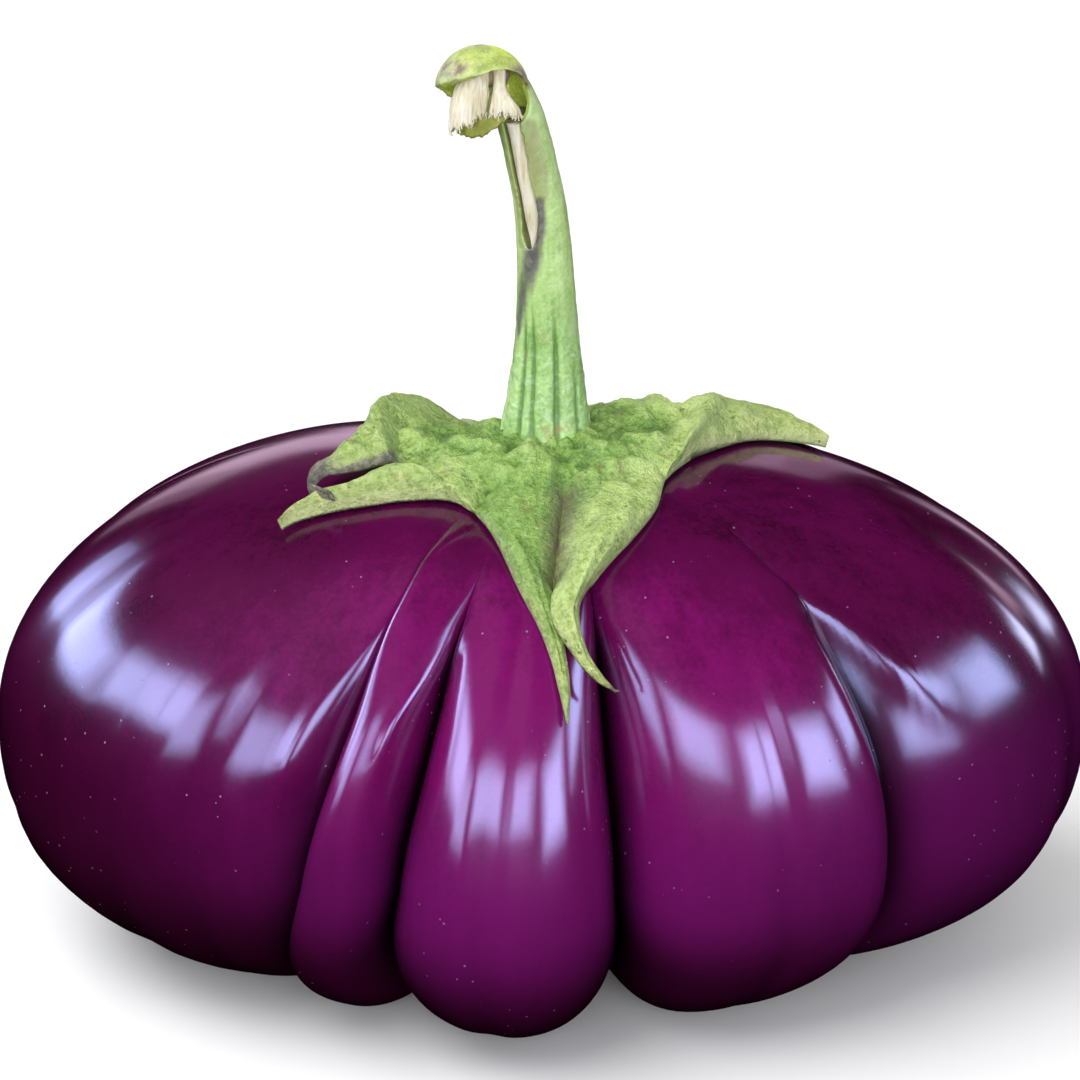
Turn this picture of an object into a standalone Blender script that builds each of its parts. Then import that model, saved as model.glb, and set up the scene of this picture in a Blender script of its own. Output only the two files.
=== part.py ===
"""A squat lobed purple eggplant with its green calyx and a torn stem, resting on its lobes.

Metres. +Z is up, the side seen in the photo faces -Y. Azimuths run from -Y towards +X, and
latitudes from 0 at the stem to 180 degrees underneath.
"""
import math

import bpy
import numpy as np

# Fruit: half sizes in plan, height, and the height at which each side is widest
HALF_WIDTH = 0.0767
HALF_DEPTH_FRONT = 0.0515
HALF_DEPTH_BACK = 0.0545
HEIGHT = 0.0777
LEFT_SHOULDER_RISE = 0.0014
BACK_FALL = 0.0025
SIDE_BELLY = 0.0365
FRONT_BELLY = 0.0270
BACK_BELLY = 0.0340
SHOULDER_FULLNESS = 2.12
UNDER_FULLNESS = 2.6
FRONT_TAPER = 0.35
TOP_DIMPLE = 0.0040
TOP_DIMPLE_RADIUS = 0.020
BASE_DIMPLE = 0.016
BASE_DIMPLE_RADIUS = 0.020
FLOOR_CUT = 0.0033
FRONT_DROP = 0.0024
BACK_DROP = 0.0026
FIRST_LATITUDE = 5
LAST_LATITUDE = 176

# Grooves: name, azimuth at the belly, its lean and curl in degrees, depth in metres, latitudes
# where it starts and is full, and how full the lobe on its left and on its right swells
GROOVES = (
    ("back left", -138, 4, 0, 0.0100, 15, 75, 2.2, 2.2),
    ("left", -103, -3, 0, 0.0030, 25, 85, 2.0, 2.0),
    ("front left crease", -36.5, -11, -3, 0.0060, 20, 70, 2.6, 2.6),
    ("front left", -25, -8, 3, 0.0125, 30, 75, 2.4, 2.4),
    ("front right", 14.5, 2.5, 0.5, 0.0145, 25, 70, 2.4, 2.6),
    ("right crease", 53, 2, 1, 0.0075, 20, 75, 4.0, 1.7),
    ("right", 112, -3, 0, 0.0060, 20, 80, 2.2, 2.2),
    ("back right", 148, 2, 0, 0.0100, 20, 75, 2.2, 2.2),
    ("back", 186, -2, 0, 0.0080, 20, 75, 2.2, 2.2),
)
# Underneath, every groove fades out between these latitudes
GROOVE_FADE = (150, 180)
# How far a lobe swells at its belly, named by the groove on its left
SWELLS = {"front left": 0.0042, "front left crease": -0.0010}
SWELL_LATITUDE = 100
SWELL_REACH = 35
# Shallow flutes: the groove left of the lobe, place across the lobe from -1 to 1, width, depth
FLUTES = (
    ("left", -0.35, 0.10, 0.0009),
    ("left", 0.25, 0.08, 0.0011),
    ("left", 0.62, 0.07, 0.0009),
    ("front left", -0.12, 0.12, 0.0007),
    ("front right", 0.15, 0.10, 0.0006),
    ("right crease", 0.0, 0.12, 0.0010),
    ("right crease", 0.55, 0.10, 0.0008),
)
FLUTES_START = (32, 60)
FLUTES_END = (110, 150)
FRUIT_ROWS = 38
COLUMNS_PER_LOBE = 8

# Calyx: a leathery star on the fruit, radii in degrees of the fruit's latitude
CALYX_GAP = 0.0005
BLADE_THICKNESS = 0.0011
RING_RADIUS = 9.5
RING_RISE = 0.0032
RING_REACH = 5.5
RING_DIP = 0.9
RING_DIP_AZIMUTH = -148
RIDGE_RISE = 0.0013
RIDGE_FADE = (30, 50)
GROOVE_SHARE = 0.35
SOCKET_CENTRE = 0.0008
SOCKET_RADIUS = 0.00675
SOCKET_FLOOR = 0.0732
SOCKET_BRIM = 0.0751
CENTRE_ROWS = 4
BLADE_ROWS_PER_STATION = 2
BLADE_COLUMNS = 8
# Where each seam between two sepals leaves the ring, in degrees of azimuth
SEAM_STARTS = (-143, -58, -24, 14, 56, 125, 172)
# Sepals from the back left, turning past the front: stations from notch to tip, each with the
# left edge's azimuth and radius, the right edge's, and the lift of left edge, middle and right
# edge off the fruit in millimetres
SEPALS = (
    # left, at the back: humped, its withered end curling forwards over the next one
    (
        (-143, 14, -63, 17, 0, 0, 0),
        (-127, 18.5, -63.5, 18.2, 1.8, 2.2, 0.5),
        (-108, 16.5, -64, 19.4, 2.0, 2.2, 1.0),
        (-90, 15.6, -64.5, 20.6, 2.2, 2.2, 1.6),
        (-77, 17.6, -64.5, 22.2, 2.4, 2.3, 2.1),
        (-69.5, 22.4, -64.5, 24.2, 2.4, 2.4, 2.3),
        (-65, 27.5, -63, 26, 2.4, 2.4, 2.4),
        (-60, 30.4, -59, 28.7, 2.1, 2.1, 2.1),
        (-53, 31.8, -53.5, 30.2, 1.8, 1.8, 1.8),
    ),
    # front left, long and pointed
    (
        (-63, 17, -23, 22.4, 0, 0, 0),
        (-61.5, 21, -37, 22.3, 0.3, 1.0, 0),
        (-59.5, 25.5, -47, 27, 0.2, 0.8, 0),
        (-59, 31, -54.5, 32.3, 0.2, 0.3, 0.2),
        (-58, 37, -56.6, 37, 0.8, 0.8, 0.8),
    ),
    # front, the longest
    (
        (-23, 22.4, 3, 38.5, 0, 0, 0),
        (-13.5, 28, 1.8, 42, 0.1, 0.5, 0.2),
        (-6, 36.5, 2.8, 46, 0.1, 0.5, 0.2),
        (-0.5, 45, 4.3, 50, 0.1, 0.4, 0.2),
        (2.4, 52, 5.0, 55, 0.1, 0.2, 0.1),
        (3.6, 60.2, 5.2, 60.4, 0.3, 0.3, 0.3),
    ),
    # front right, folded beside the front one, its tip turned out
    (
        (3, 38.5, 55, 16.7, 0, 0, 0),
        (3.2, 41, 38, 22.5, 0.8, 1.2, 0),
        (3.8, 43.8, 22, 30.5, 1.0, 1.8, 0),
        (4.8, 46.2, 12.5, 36.8, 1.2, 1.8, 0.2),
        (6.2, 48.6, 9.4, 42, 1.4, 1.8, 0.4),
        (7.8, 51.2, 9.8, 48, 1.4, 1.6, 1.0),
        (10.4, 54.8, 12.0, 53, 1.8, 1.8, 1.8),
        (13.2, 57.6, 14.4, 55.8, 2.4, 2.4, 2.4),
    ),
    # right, a long ridge along the shoulder
    (
        (55, 16.7, 125, 17, 0, 0, 0),
        (69, 16.2, 124, 23, 0, 2.8, 1.6),
        (83, 18, 122, 28, 0, 2.6, 1.6),
        (92, 22, 118, 31, 0, 1.4, 0.7),
        (97, 26.5, 108, 31.8, 0, 0.5, 0.2),
        (97.5, 29.8, 100, 30.8, 0.1, 0.1, 0.1),
    ),
    # right, at the back
    (
        (125, 17, 172, 14, 0, 0, 0),
        (132, 22, 164, 21, 0.3, 0.5, 0.2),
        (139, 28, 158, 28, 0.3, 0.5, 0.2),
        (145, 34, 153, 34, 0.2, 0.4, 0.2),
        (149, 39, 151, 39, 0.2, 0.2, 0.2),
    ),
    # back
    (
        (172, 14, 217, 14, 0, 0, 0),
        (183, 22, 208, 22, 0, 0, 0),
        (189, 30, 203, 30, 0, 0, 0),
        (193, 38, 199, 38, 0.1, 0.1, 0.1),
        (195.5, 45, 197, 45, 0.2, 0.2, 0.2),
    ),
)

# Stem: stations up its centre line as x, y, height and radius in millimetres
STEM_STATIONS = (
    (0.8, 0.0, 73.5, 6.1),
    (0.85, 0.0, 75.8, 6.0),
    (0.9, 0.0, 79.3, 5.6),
    (1.0, 0.0, 83.8, 4.95),
    (1.0, 0.0, 88.3, 4.5),
    (0.9, 0.0, 92.8, 4.15),
    (0.65, 0.0, 100.3, 3.8),
    (0.0, 0.0, 107.5, 3.6),
    (-1.0, -0.2, 112.9, 3.5),
    (-2.15, -0.5, 118.1, 3.45),
    (-3.4, -0.9, 122.3, 3.4),
    (-4.6, -1.4, 125.5, 3.1),
)
STEM_SIDES = 20
STEM_RINGS = 26
FLUTE_COUNT = 5
FLUTE_DEPTH = 0.05
FLUTE_TOP = 93.3
# Hood of bark over the torn end
HOOD_CENTRE = (-7.8, -2.6, 124.7)
HOOD_RADII = (6.3, 5.6, 6.0)
HOOD_WALL = 0.95
# The hood is cut off below a plane: a point of its rim, and the way its opening faces
HOOD_RIM_POINT = (-7.0, -7.5, 128.3)
HOOD_FACING = (-0.10, -0.62, -0.78)
# Peeled strip up the front left of the stem, where the wood shows
PEEL_AZIMUTH = -40
PEEL_FROM = 98.6
PEEL_TO = 123.2
PEEL_RADIUS = 1.45
PEEL_STATIONS = 14
PEEL_SIDES = 10
WOOD_RADIUS = 1.15
PEEL_INSET = 0.95
PEEL_END_INSET = 2.2
PEEL_END = 0.25
# Two frayed stumps of wood: top centre, bottom centre, half widths across and deep
STUMPS = (
    ((-9.1, -4.0, 127.3), (-9.4, -4.7, 118.9), (1.7, 1.25), (2.5, 1.7)),
    ((-5.6, -4.1, 127.3), (-4.6, -6.2, 120.3), (0.9, 1.0), (2.0, 1.2)),
)
WOOD_KNOT = (-7.4, -2.3, 126.4)
WOOD_KNOT_RADII = (3.4, 2.1, 1.6)
STUMP_SIDES = 12
MM = 0.001


def clear_scene():
    for obj in list(bpy.data.objects):
        bpy.data.objects.remove(obj)


def smooth(x, low, high):
    t = np.clip((x - low) / (high - low), 0, 1)
    return t * t * (3 - 2 * t)


def toward(azimuth):
    """Unit direction in plan at an azimuth."""
    return np.stack([np.sin(azimuth), -np.cos(azimuth)], -1)


def envelope(azimuth, latitude):
    """Smooth outer shape: radius, height, and the outward direction in the meridian plane."""
    facing = np.cos(azimuth)
    depth = np.where(facing > 0, HALF_DEPTH_FRONT, HALF_DEPTH_BACK)
    reach = 1 / np.sqrt((np.sin(azimuth) / HALF_WIDTH) ** 2 + (facing / depth) ** 2)
    belly = SIDE_BELLY + (FRONT_BELLY - SIDE_BELLY) * np.maximum(facing, 0) ** 2
    belly = belly + (BACK_BELLY - SIDE_BELLY) * np.maximum(-facing, 0) ** 2
    rise = LEFT_SHOULDER_RISE * np.maximum(-np.sin(azimuth), 0) ** 2
    rise = rise - BACK_FALL * np.maximum(-facing, 0) ** 2
    top = HEIGHT + rise * smooth(np.degrees(latitude), 2, 28)
    s = np.maximum(np.sin(latitude), 1e-9)
    c = np.cos(latitude)
    upper = c > 0
    under = UNDER_FULLNESS - FRONT_TAPER * np.maximum(facing, 0) ** 2
    power = np.where(upper, SHOULDER_FULLNESS, under)
    drop = FRONT_DROP * np.maximum(facing, 0) ** 2 + BACK_DROP * np.maximum(-facing, 0) ** 2
    half = np.where(upper, top - belly, belly + drop)
    radius = reach * s ** (2 / power)
    height = belly + half * np.sign(c) * np.abs(c) ** (2 / power)
    height = height - TOP_DIMPLE * np.exp(-((radius / TOP_DIMPLE_RADIUS) ** 2)) * upper
    height = height + BASE_DIMPLE * np.exp(-((radius / BASE_DIMPLE_RADIUS) ** 2)) * ~upper
    out = s ** (2 - 2 / power) / reach
    up = np.sign(c) * np.abs(c) ** (2 - 2 / power) / half
    size = np.hypot(out, up)
    return radius, height - FLOOR_CUT, out / size, up / size


def groove_azimuth(groove, latitude):
    k = np.clip((np.degrees(latitude) - 90) / 60, -1.2, 1.2)
    return np.radians(groove[1] + groove[2] * k + groove[3] * k * k)


def groove_depth(groove, latitude):
    degrees = np.degrees(latitude)
    return groove[4] * smooth(degrees, groove[5], groove[6]) * (1 - smooth(degrees, *GROOVE_FADE))


def rounding(u, power):
    """0 on a lobe's crest, 1 in the groove beside it."""
    return 1 - np.sqrt(np.maximum(1 - np.abs(u) ** power, 0))


def lobe_depth(number, u, latitude):
    """How far the skin of a lobe lies inside the envelope, u from -1 to 1 across the lobe."""
    left = GROOVES[number]
    right = GROOVES[(number + 1) % len(GROOVES)]
    degrees = np.degrees(latitude)
    depth = np.where(
        u < 0,
        groove_depth(left, latitude) * rounding(u, left[8]),
        groove_depth(right, latitude) * rounding(u, right[7]),
    )
    swell = SWELLS.get(left[0], 0)
    depth = depth - swell * (1 - u * u) * np.exp(-(((degrees - SWELL_LATITUDE) / SWELL_REACH) ** 2))
    along = smooth(degrees, *FLUTES_START) * (1 - smooth(degrees, *FLUTES_END))
    for name, place, width, deep in FLUTES:
        if name == left[0]:
            depth = depth + deep * along * np.exp(-(((u - place) / width) ** 2))
    return depth


def lobe_edges(number, latitude):
    """Azimuths of the grooves left and right of a lobe."""
    left = groove_azimuth(GROOVES[number], latitude)
    right = groove_azimuth(GROOVES[(number + 1) % len(GROOVES)], latitude)
    return left, left + (right - left) % (2 * math.pi)


def skin_depth(azimuth, latitude):
    """How far the skin lies inside the envelope at any azimuth and latitude."""
    depth = np.zeros_like(azimuth)
    for number in range(len(GROOVES)):
        left, right = lobe_edges(number, latitude)
        place = (azimuth - left) % (2 * math.pi)
        u = 2 * place / (right - left) - 1
        depth = np.where(place < right - left, lobe_depth(number, u, latitude), depth)
    return depth


def raised(azimuth, latitude, offset):
    """Points at an offset outside the envelope."""
    radius, height, out, up = envelope(azimuth, latitude)
    plan = toward(azimuth) * (radius + out * offset)[..., None]
    return np.concatenate([plan, (height + up * offset)[..., None]], -1)


def add_piece(name, points, triangles):
    mesh = bpy.data.meshes.new(name)
    mesh.from_pydata([tuple(map(float, p)) for p in points], [], [tuple(map(int, t)) for t in triangles])
    mesh.update()
    obj = bpy.data.objects.new(name, mesh)
    bpy.context.scene.collection.objects.link(obj)
    return obj


def ring_band(first, second, count):
    """Triangles between two closed rings of vertices, facing out when the second lies above."""
    found = []
    for i in range(count):
        j = (i + 1) % count
        found.append((first + i, first + j, second + j))
        found.append((first + i, second + j, second + i))
    return found


def fan(centre, ring, count, facing_up):
    found = []
    for i in range(count):
        j = (i + 1) % count
        found.append((centre, ring + i, ring + j) if facing_up else (centre, ring + j, ring + i))
    return found


def make_fruit():
    latitudes = np.radians(np.linspace(LAST_LATITUDE, FIRST_LATITUDE, FRUIT_ROWS))
    across = np.sin(math.pi / 2 * np.linspace(-1, 1, COLUMNS_PER_LOBE + 1)[:-1])
    rows = []
    for latitude in latitudes:
        for number in range(len(GROOVES)):
            left, right = lobe_edges(number, latitude)
            azimuth = left + (right - left) * (across + 1) / 2
            height = np.full_like(across, latitude)
            rows.append(raised(azimuth, height, -lobe_depth(number, across, height)))
    columns = COLUMNS_PER_LOBE * len(GROOVES)
    points = np.concatenate(rows)
    poles = raised(np.zeros(2), np.radians([180.0, 0.0]), np.zeros(2))
    points = np.concatenate([points, poles])
    points[:, 2] = np.maximum(points[:, 2], 0)
    triangles = []
    for row in range(FRUIT_ROWS - 1):
        triangles += ring_band(row * columns, (row + 1) * columns, columns)
    triangles += fan(len(points) - 2, 0, columns, False)
    triangles += fan(len(points) - 1, (FRUIT_ROWS - 1) * columns, columns, True)
    add_piece("fruit", points, triangles)


def plane_point(azimuth, radius):
    """Point of the calyx's flat pattern, in degrees of the fruit's latitude."""
    return toward(np.radians(azimuth)) * np.asarray(radius)[..., None]


def spline(values, t):
    """Smooth curve through the values, t counting them from 0."""
    values = np.asarray(values, float)
    i = np.clip(np.floor(t).astype(int), 0, len(values) - 2)
    f = (t - i)[:, None]
    before = values[np.maximum(i - 1, 0)]
    after = values[np.minimum(i + 2, len(values) - 1)]
    start, end = values[i], values[i + 1]
    a = 2 * start
    b = end - before
    c = 2 * before - 5 * start + 4 * end - after
    d = 3 * start - before - 3 * end + after
    return (a + b * f + c * f * f + d * f ** 3) / 2


def ring_pattern(number, across):
    start = SEAM_STARTS[number]
    end = SEAM_STARTS[(number + 1) % len(SEAM_STARTS)]
    span = (end - start) % 360
    azimuth = start + span * (across + 1) / 2
    return plane_point(azimuth, np.full_like(azimuth, RING_RADIUS))


def sepal_pattern(number, across):
    """Flat pattern, lift and place across of one sepal's rows, from the ring to its tip."""
    stations = np.array(SEPALS[number], float)
    steps = BLADE_ROWS_PER_STATION * (len(stations) - 1)
    t = np.linspace(0, len(stations) - 1, steps + 1)
    left = spline(plane_point(stations[:, 0], stations[:, 1]), t)
    right = spline(plane_point(stations[:, 2], stations[:, 3]), t)
    lifts = spline(stations[:, 4:7], t) * MM
    side = (across + 1) / 2
    blade = left[:, None] * (1 - side)[None, :, None] + right[:, None] * side[None, :, None]
    bow = 1 - across ** 2
    edge = lifts[:, :1] * (1 - side) + lifts[:, 2:] * side
    middle = lifts[:, 1:2] - (lifts[:, :1] + lifts[:, 2:]) / 2
    blade_lift = edge + middle * bow
    inner = ring_pattern(number, across)
    share = np.linspace(0, 1, CENTRE_ROWS + 1)[1:-1]
    centre = inner * (1 - share)[:, None, None] + blade[0] * share[:, None, None]
    pattern = np.concatenate([inner[None], centre, blade])
    lift = np.concatenate([np.zeros((CENTRE_ROWS, len(across))), blade_lift])
    return pattern, lift, np.broadcast_to(across, lift.shape)


def calyx_surfaces(pattern, lift, across):
    """Upper and lower points of the calyx over its flat pattern."""
    azimuth = np.arctan2(pattern[..., 0], -pattern[..., 1])
    radius = np.hypot(pattern[..., 0], pattern[..., 1])
    latitude = np.radians(radius)
    depth = skin_depth(azimuth, latitude)
    base = -np.where(depth > 0, depth * GROOVE_SHARE, depth)
    dip = RING_DIP * np.maximum(np.cos(azimuth - math.radians(RING_DIP_AZIMUTH)), 0) ** 2
    ring = RING_RISE * (1 - dip) * np.exp(-(((radius - RING_RADIUS) / RING_REACH) ** 2))
    along = smooth(radius, RING_RADIUS, 2 * RING_RADIUS) * (1 - smooth(radius, *RIDGE_FADE))
    ridge = RIDGE_RISE * (1 - dip) * (1 - across ** 2) * along
    lower = base + CALYX_GAP + lift
    upper = lower + BLADE_THICKNESS + ring + ridge
    return raised(azimuth, latitude, upper), raised(azimuth, latitude, lower)


class Weld:
    """Collects vertices, giving one index to points that meet on a seam."""

    def __init__(self):
        self.points = []
        self.index = {}

    def add(self, point):
        key = tuple(np.round(np.asarray(point) / 1e-7).astype(int))
        if key not in self.index:
            self.index[key] = len(self.points)
            self.points.append(point)
        return self.index[key]


def grid_triangles(numbers):
    """Triangles over a grid of vertex numbers, rows running outwards, columns leftwards to right."""
    found = []
    for r in range(len(numbers) - 1):
        for c in range(len(numbers[0]) - 1):
            a, b = numbers[r][c], numbers[r][c + 1]
            d, e = numbers[r + 1][c], numbers[r + 1][c + 1]
            found.append((a, d, e))
            found.append((a, e, b))
    return [t for t in found if len(set(t)) == 3]


def socket_rings(ring_vertices):
    """Floor and brim of the socket that the stem stands in."""
    around = np.arctan2(ring_vertices[:, 0] - SOCKET_CENTRE, -ring_vertices[:, 1])
    plan = toward(around) * SOCKET_RADIUS
    brim = np.column_stack([plan, np.full(len(plan), SOCKET_BRIM)])
    floor = np.column_stack([plan, np.full(len(plan), SOCKET_FLOOR)])
    shift = np.array([SOCKET_CENTRE, 0, 0])
    return brim + shift, floor + shift


def make_calyx():
    across = np.linspace(-1, 1, BLADE_COLUMNS + 1)
    weld = Weld()
    triangles = []
    ring_upper, ring_lower = [], []
    for number in range(len(SEPALS)):
        pattern, lift, place = sepal_pattern(number, across)
        upper, lower = calyx_surfaces(pattern, lift, place)
        top = [[weld.add(p) for p in row] for row in upper]
        bottom = [[weld.add(p) for p in row] for row in lower]
        triangles += grid_triangles(top)
        triangles += [(a, c, b) for a, b, c in grid_triangles(bottom)]
        triangles += rim_triangles(top, bottom)
        ring_upper += top[0][:-1]
        ring_lower += bottom[0][:-1]
    brim, floor = socket_rings(np.array([weld.points[i] for i in ring_upper]))
    count = len(ring_upper)
    brim_start = len(weld.points)
    weld.points += list(brim) + list(floor)
    floor_start = brim_start + count
    centre_up = len(weld.points)
    weld.points.append(np.array([SOCKET_CENTRE, 0, SOCKET_FLOOR]))
    low = raised(np.zeros(1), np.zeros(1), np.array([CALYX_GAP]))[0]
    centre_low = len(weld.points)
    weld.points.append(low)
    for i in range(count):
        j = (i + 1) % count
        triangles.append((brim_start + i, ring_upper[i], ring_upper[j]))
        triangles.append((brim_start + i, ring_upper[j], brim_start + j))
        triangles.append((floor_start + i, brim_start + i, brim_start + j))
        triangles.append((floor_start + i, brim_start + j, floor_start + j))
        triangles.append((centre_up, floor_start + i, floor_start + j))
        triangles.append((centre_low, ring_lower[j], ring_lower[i]))
    add_piece("calyx", weld.points, triangles)


def rim_triangles(top, bottom):
    """The wall round the edge of one sepal, past the notches."""
    last = len(top[0]) - 1
    path = [(r, 0) for r in range(CENTRE_ROWS, len(top))]
    path += [(len(top) - 1, c) for c in range(1, last)]
    path += [(r, last) for r in range(len(top) - 1, CENTRE_ROWS - 1, -1)]
    found = []
    for (r, c), (s, d) in zip(path, path[1:]):
        found.append((top[r][c], bottom[r][c], bottom[s][d]))
        found.append((top[r][c], bottom[s][d], top[s][d]))
    return found


def stem_station(t):
    """Centre and radius at a share of the way up the stem, in metres."""
    stations = np.array(STEM_STATIONS, float)
    value = spline(stations, np.atleast_1d(t * (len(stations) - 1)))[0] * MM
    return value[:3], value[3]


def swept(name, centres, sections):
    """Closed piece through horizontal sections, lowest first."""
    sides = len(sections[0])
    points = [centre + corner for centre, section in zip(centres, sections) for corner in section]
    points += [centres[0], centres[-1]]
    triangles = []
    for row in range(len(centres) - 1):
        triangles += ring_band(row * sides, (row + 1) * sides, sides)
    triangles += fan(len(points) - 2, 0, sides, False)
    triangles += fan(len(points) - 1, (len(centres) - 1) * sides, sides, True)
    return add_piece(name, points, triangles)


def oval(half_across, half_deep, sides):
    around = np.linspace(0, 2 * math.pi, sides, endpoint=False)
    plan = toward(around) * np.array([half_across, half_deep])
    return np.column_stack([plan, np.zeros(sides)])


def fluted_section(radius, height):
    around = np.linspace(0, 2 * math.pi, STEM_SIDES, endpoint=False)
    fade = smooth(FLUTE_TOP - height / MM, 0, 6)
    wave = FLUTE_DEPTH * fade * np.cos(FLUTE_COUNT * around)
    return np.column_stack([toward(around) * (radius * (1 + wave))[:, None], np.zeros(STEM_SIDES)])


def make_tube():
    centres, sections = [], []
    for t in np.linspace(0, 1, STEM_RINGS):
        centre, radius = stem_station(t)
        centres.append(centre)
        sections.append(fluted_section(radius, centre[2]))
    return swept("stem", centres, sections)


def ellipsoid(name, centre, radii, rings, sides):
    angles = np.linspace(-math.pi / 2, math.pi / 2, rings + 2)[1:-1]
    centres = [np.array([0, 0, radii[2] * math.sin(a)]) for a in angles]
    sections = [oval(radii[0] * math.cos(a), radii[1] * math.cos(a), sides) for a in angles]
    piece = swept(name, centres, sections)
    vertices = piece.data.vertices
    vertices[-2].co.z = -radii[2]
    vertices[-1].co.z = radii[2]
    for vertex in vertices:
        vertex.co += type(vertex.co)(centre)
    return piece


def slab(name, point, facing, reach):
    """Thick plate with one face through a point, lying on the side that it faces."""
    facing = np.array(facing) / np.linalg.norm(facing)
    across = np.cross(facing, (0, 1, 0))
    across /= np.linalg.norm(across)
    along = np.cross(facing, across)
    corners = [
        point + reach * (x * across + y * along + z * facing)
        for z in (0, 1) for y in (-1, 1) for x in (-1, 1)
    ]
    faces = ((0, 2, 3, 1), (4, 5, 7, 6), (0, 1, 5, 4), (1, 3, 7, 5), (3, 2, 6, 7), (2, 0, 4, 6))
    triangles = [t for a, b, c, d in faces for t in ((a, b, c), (a, c, d))]
    return add_piece(name, corners, triangles)


def combine(piece, other, operation):
    """Joins or cuts one piece with another and drops the other."""
    modifier = piece.modifiers.new("combine", "BOOLEAN")
    modifier.operation = operation
    modifier.solver = "EXACT"
    modifier.object = other
    graph = bpy.context.evaluated_depsgraph_get()
    mesh = bpy.data.meshes.new_from_object(piece.evaluated_get(graph))
    piece.modifiers.clear()
    piece.data = mesh
    mesh.name = piece.name
    bpy.data.objects.remove(other)


def make_hood():
    """Dome of bark, hollow and open towards the front and below."""
    centre = np.array(HOOD_CENTRE) * MM
    radii = np.array(HOOD_RADII) * MM
    hood = ellipsoid("hood", centre, radii, 11, 24)
    inner = ellipsoid("hood inside", centre, radii - HOOD_WALL * MM, 9, 20)
    combine(hood, inner, "DIFFERENCE")
    rim = slab("below the rim", np.array(HOOD_RIM_POINT) * MM, HOOD_FACING, 0.03)
    combine(hood, rim, "DIFFERENCE")
    return hood


def peel_path(radius):
    """Centre line and sections of the peeled strip, or of the wood in it, deeper at its lower end."""
    direction = np.append(toward(math.radians(PEEL_AZIMUTH)), 0)
    centres, sections = [], []
    for share in np.linspace(0, 1, PEEL_STATIONS):
        height = PEEL_FROM + (PEEL_TO - PEEL_FROM) * share
        place = np.interp(height, [s[2] for s in STEM_STATIONS], np.linspace(0, 1, len(STEM_STATIONS)))
        centre, stem_radius = stem_station(place)
        grown = smooth(share, 0, PEEL_END)
        inset = PEEL_END_INSET + (PEEL_INSET - PEEL_END_INSET) * grown
        size = radius * MM * (0.35 + 0.65 * grown)
        centres.append(centre + direction * (stem_radius - inset * MM))
        sections.append(oval(size, size, PEEL_SIDES))
    return centres, sections


def make_stem():
    stem = make_tube()
    centre = np.array(HOOD_CENTRE) * MM
    radii = np.array(HOOD_RADII) * MM - HOOD_WALL * MM
    combine(stem, make_hood(), "UNION")
    combine(stem, ellipsoid("hollow", centre, radii, 9, 20), "DIFFERENCE")
    combine(stem, swept("peel", *peel_path(PEEL_RADIUS)), "DIFFERENCE")


def make_stump(name, top, bottom, top_half, bottom_half):
    share = np.linspace(0, 1, 5)
    centres = [np.array(bottom) * MM * (1 - k) + np.array(top) * MM * k for k in share]
    sections = []
    for k in share:
        across = (bottom_half[0] * (1 - k) + top_half[0] * k) * MM
        deep = (bottom_half[1] * (1 - k) + top_half[1] * k) * MM
        sections.append(oval(across, deep, STUMP_SIDES))
    return swept(name, centres, sections)


def make_wood():
    centres, sections = peel_path(WOOD_RADIUS)
    knot = np.array(WOOD_KNOT) * MM
    centres = centres[1:-1] + [centres[-1] * 0.5 + knot * 0.5, knot]
    sections = sections[1:] + [sections[-1]]
    wood = swept("stem_wood", centres, sections)
    combine(wood, ellipsoid("knot", knot, np.array(WOOD_KNOT_RADII) * MM, 5, 12), "UNION")
    for number, stump in enumerate(STUMPS):
        combine(wood, make_stump("stump %d" % number, *stump), "UNION")


clear_scene()
make_fruit()
make_calyx()
make_stem()
make_wood()
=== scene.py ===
import math
from collections import namedtuple

import bpy
import numpy as np
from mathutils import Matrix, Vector, noise


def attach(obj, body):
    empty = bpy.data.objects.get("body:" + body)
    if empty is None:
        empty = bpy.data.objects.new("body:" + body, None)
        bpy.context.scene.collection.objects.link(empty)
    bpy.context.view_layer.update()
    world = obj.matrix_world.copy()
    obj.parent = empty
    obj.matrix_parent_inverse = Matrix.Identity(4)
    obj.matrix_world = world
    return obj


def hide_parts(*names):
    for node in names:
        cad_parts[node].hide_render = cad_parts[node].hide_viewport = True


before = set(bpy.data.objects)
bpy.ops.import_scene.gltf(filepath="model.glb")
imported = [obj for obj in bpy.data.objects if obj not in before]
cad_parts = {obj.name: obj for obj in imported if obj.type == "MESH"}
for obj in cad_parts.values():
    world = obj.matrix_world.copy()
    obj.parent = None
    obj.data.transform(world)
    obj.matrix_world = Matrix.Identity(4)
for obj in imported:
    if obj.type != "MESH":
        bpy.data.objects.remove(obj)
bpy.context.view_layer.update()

# Fruit. A squat berry of nine lobes pressed round one axis: spongy flesh under a thin, waxy, glossy
# skin. It grows as one piece, creased where two lobes meet, and it rests on the feet of its lobes.
# Azimuths run from the front towards the right, latitudes from 0 at the stem to 180 underneath.
FRUIT_ROWS = 200
COLUMNS_PER_LOBE = 48
FIRST_LATITUDE = 1.5
LAST_LATITUDE = 178.5
HALF_WIDTH = 0.0767
HALF_DEPTH_FRONT = 0.0515
HALF_DEPTH_BACK = 0.0545
HEIGHT = 0.0777
LEFT_SHOULDER_RISE = 0.0014
BACK_FALL = 0.0025
SIDE_BELLY = 0.0365
FRONT_BELLY = 0.0270
BACK_BELLY = 0.0340
SHOULDER_FULLNESS = 2.12
UNDER_FULLNESS = 2.6
FRONT_TAPER = 0.35
TOP_DIMPLE = 0.0040
TOP_DIMPLE_RADIUS = 0.020
BASE_DIMPLE = 0.016
BASE_DIMPLE_RADIUS = 0.020
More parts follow.
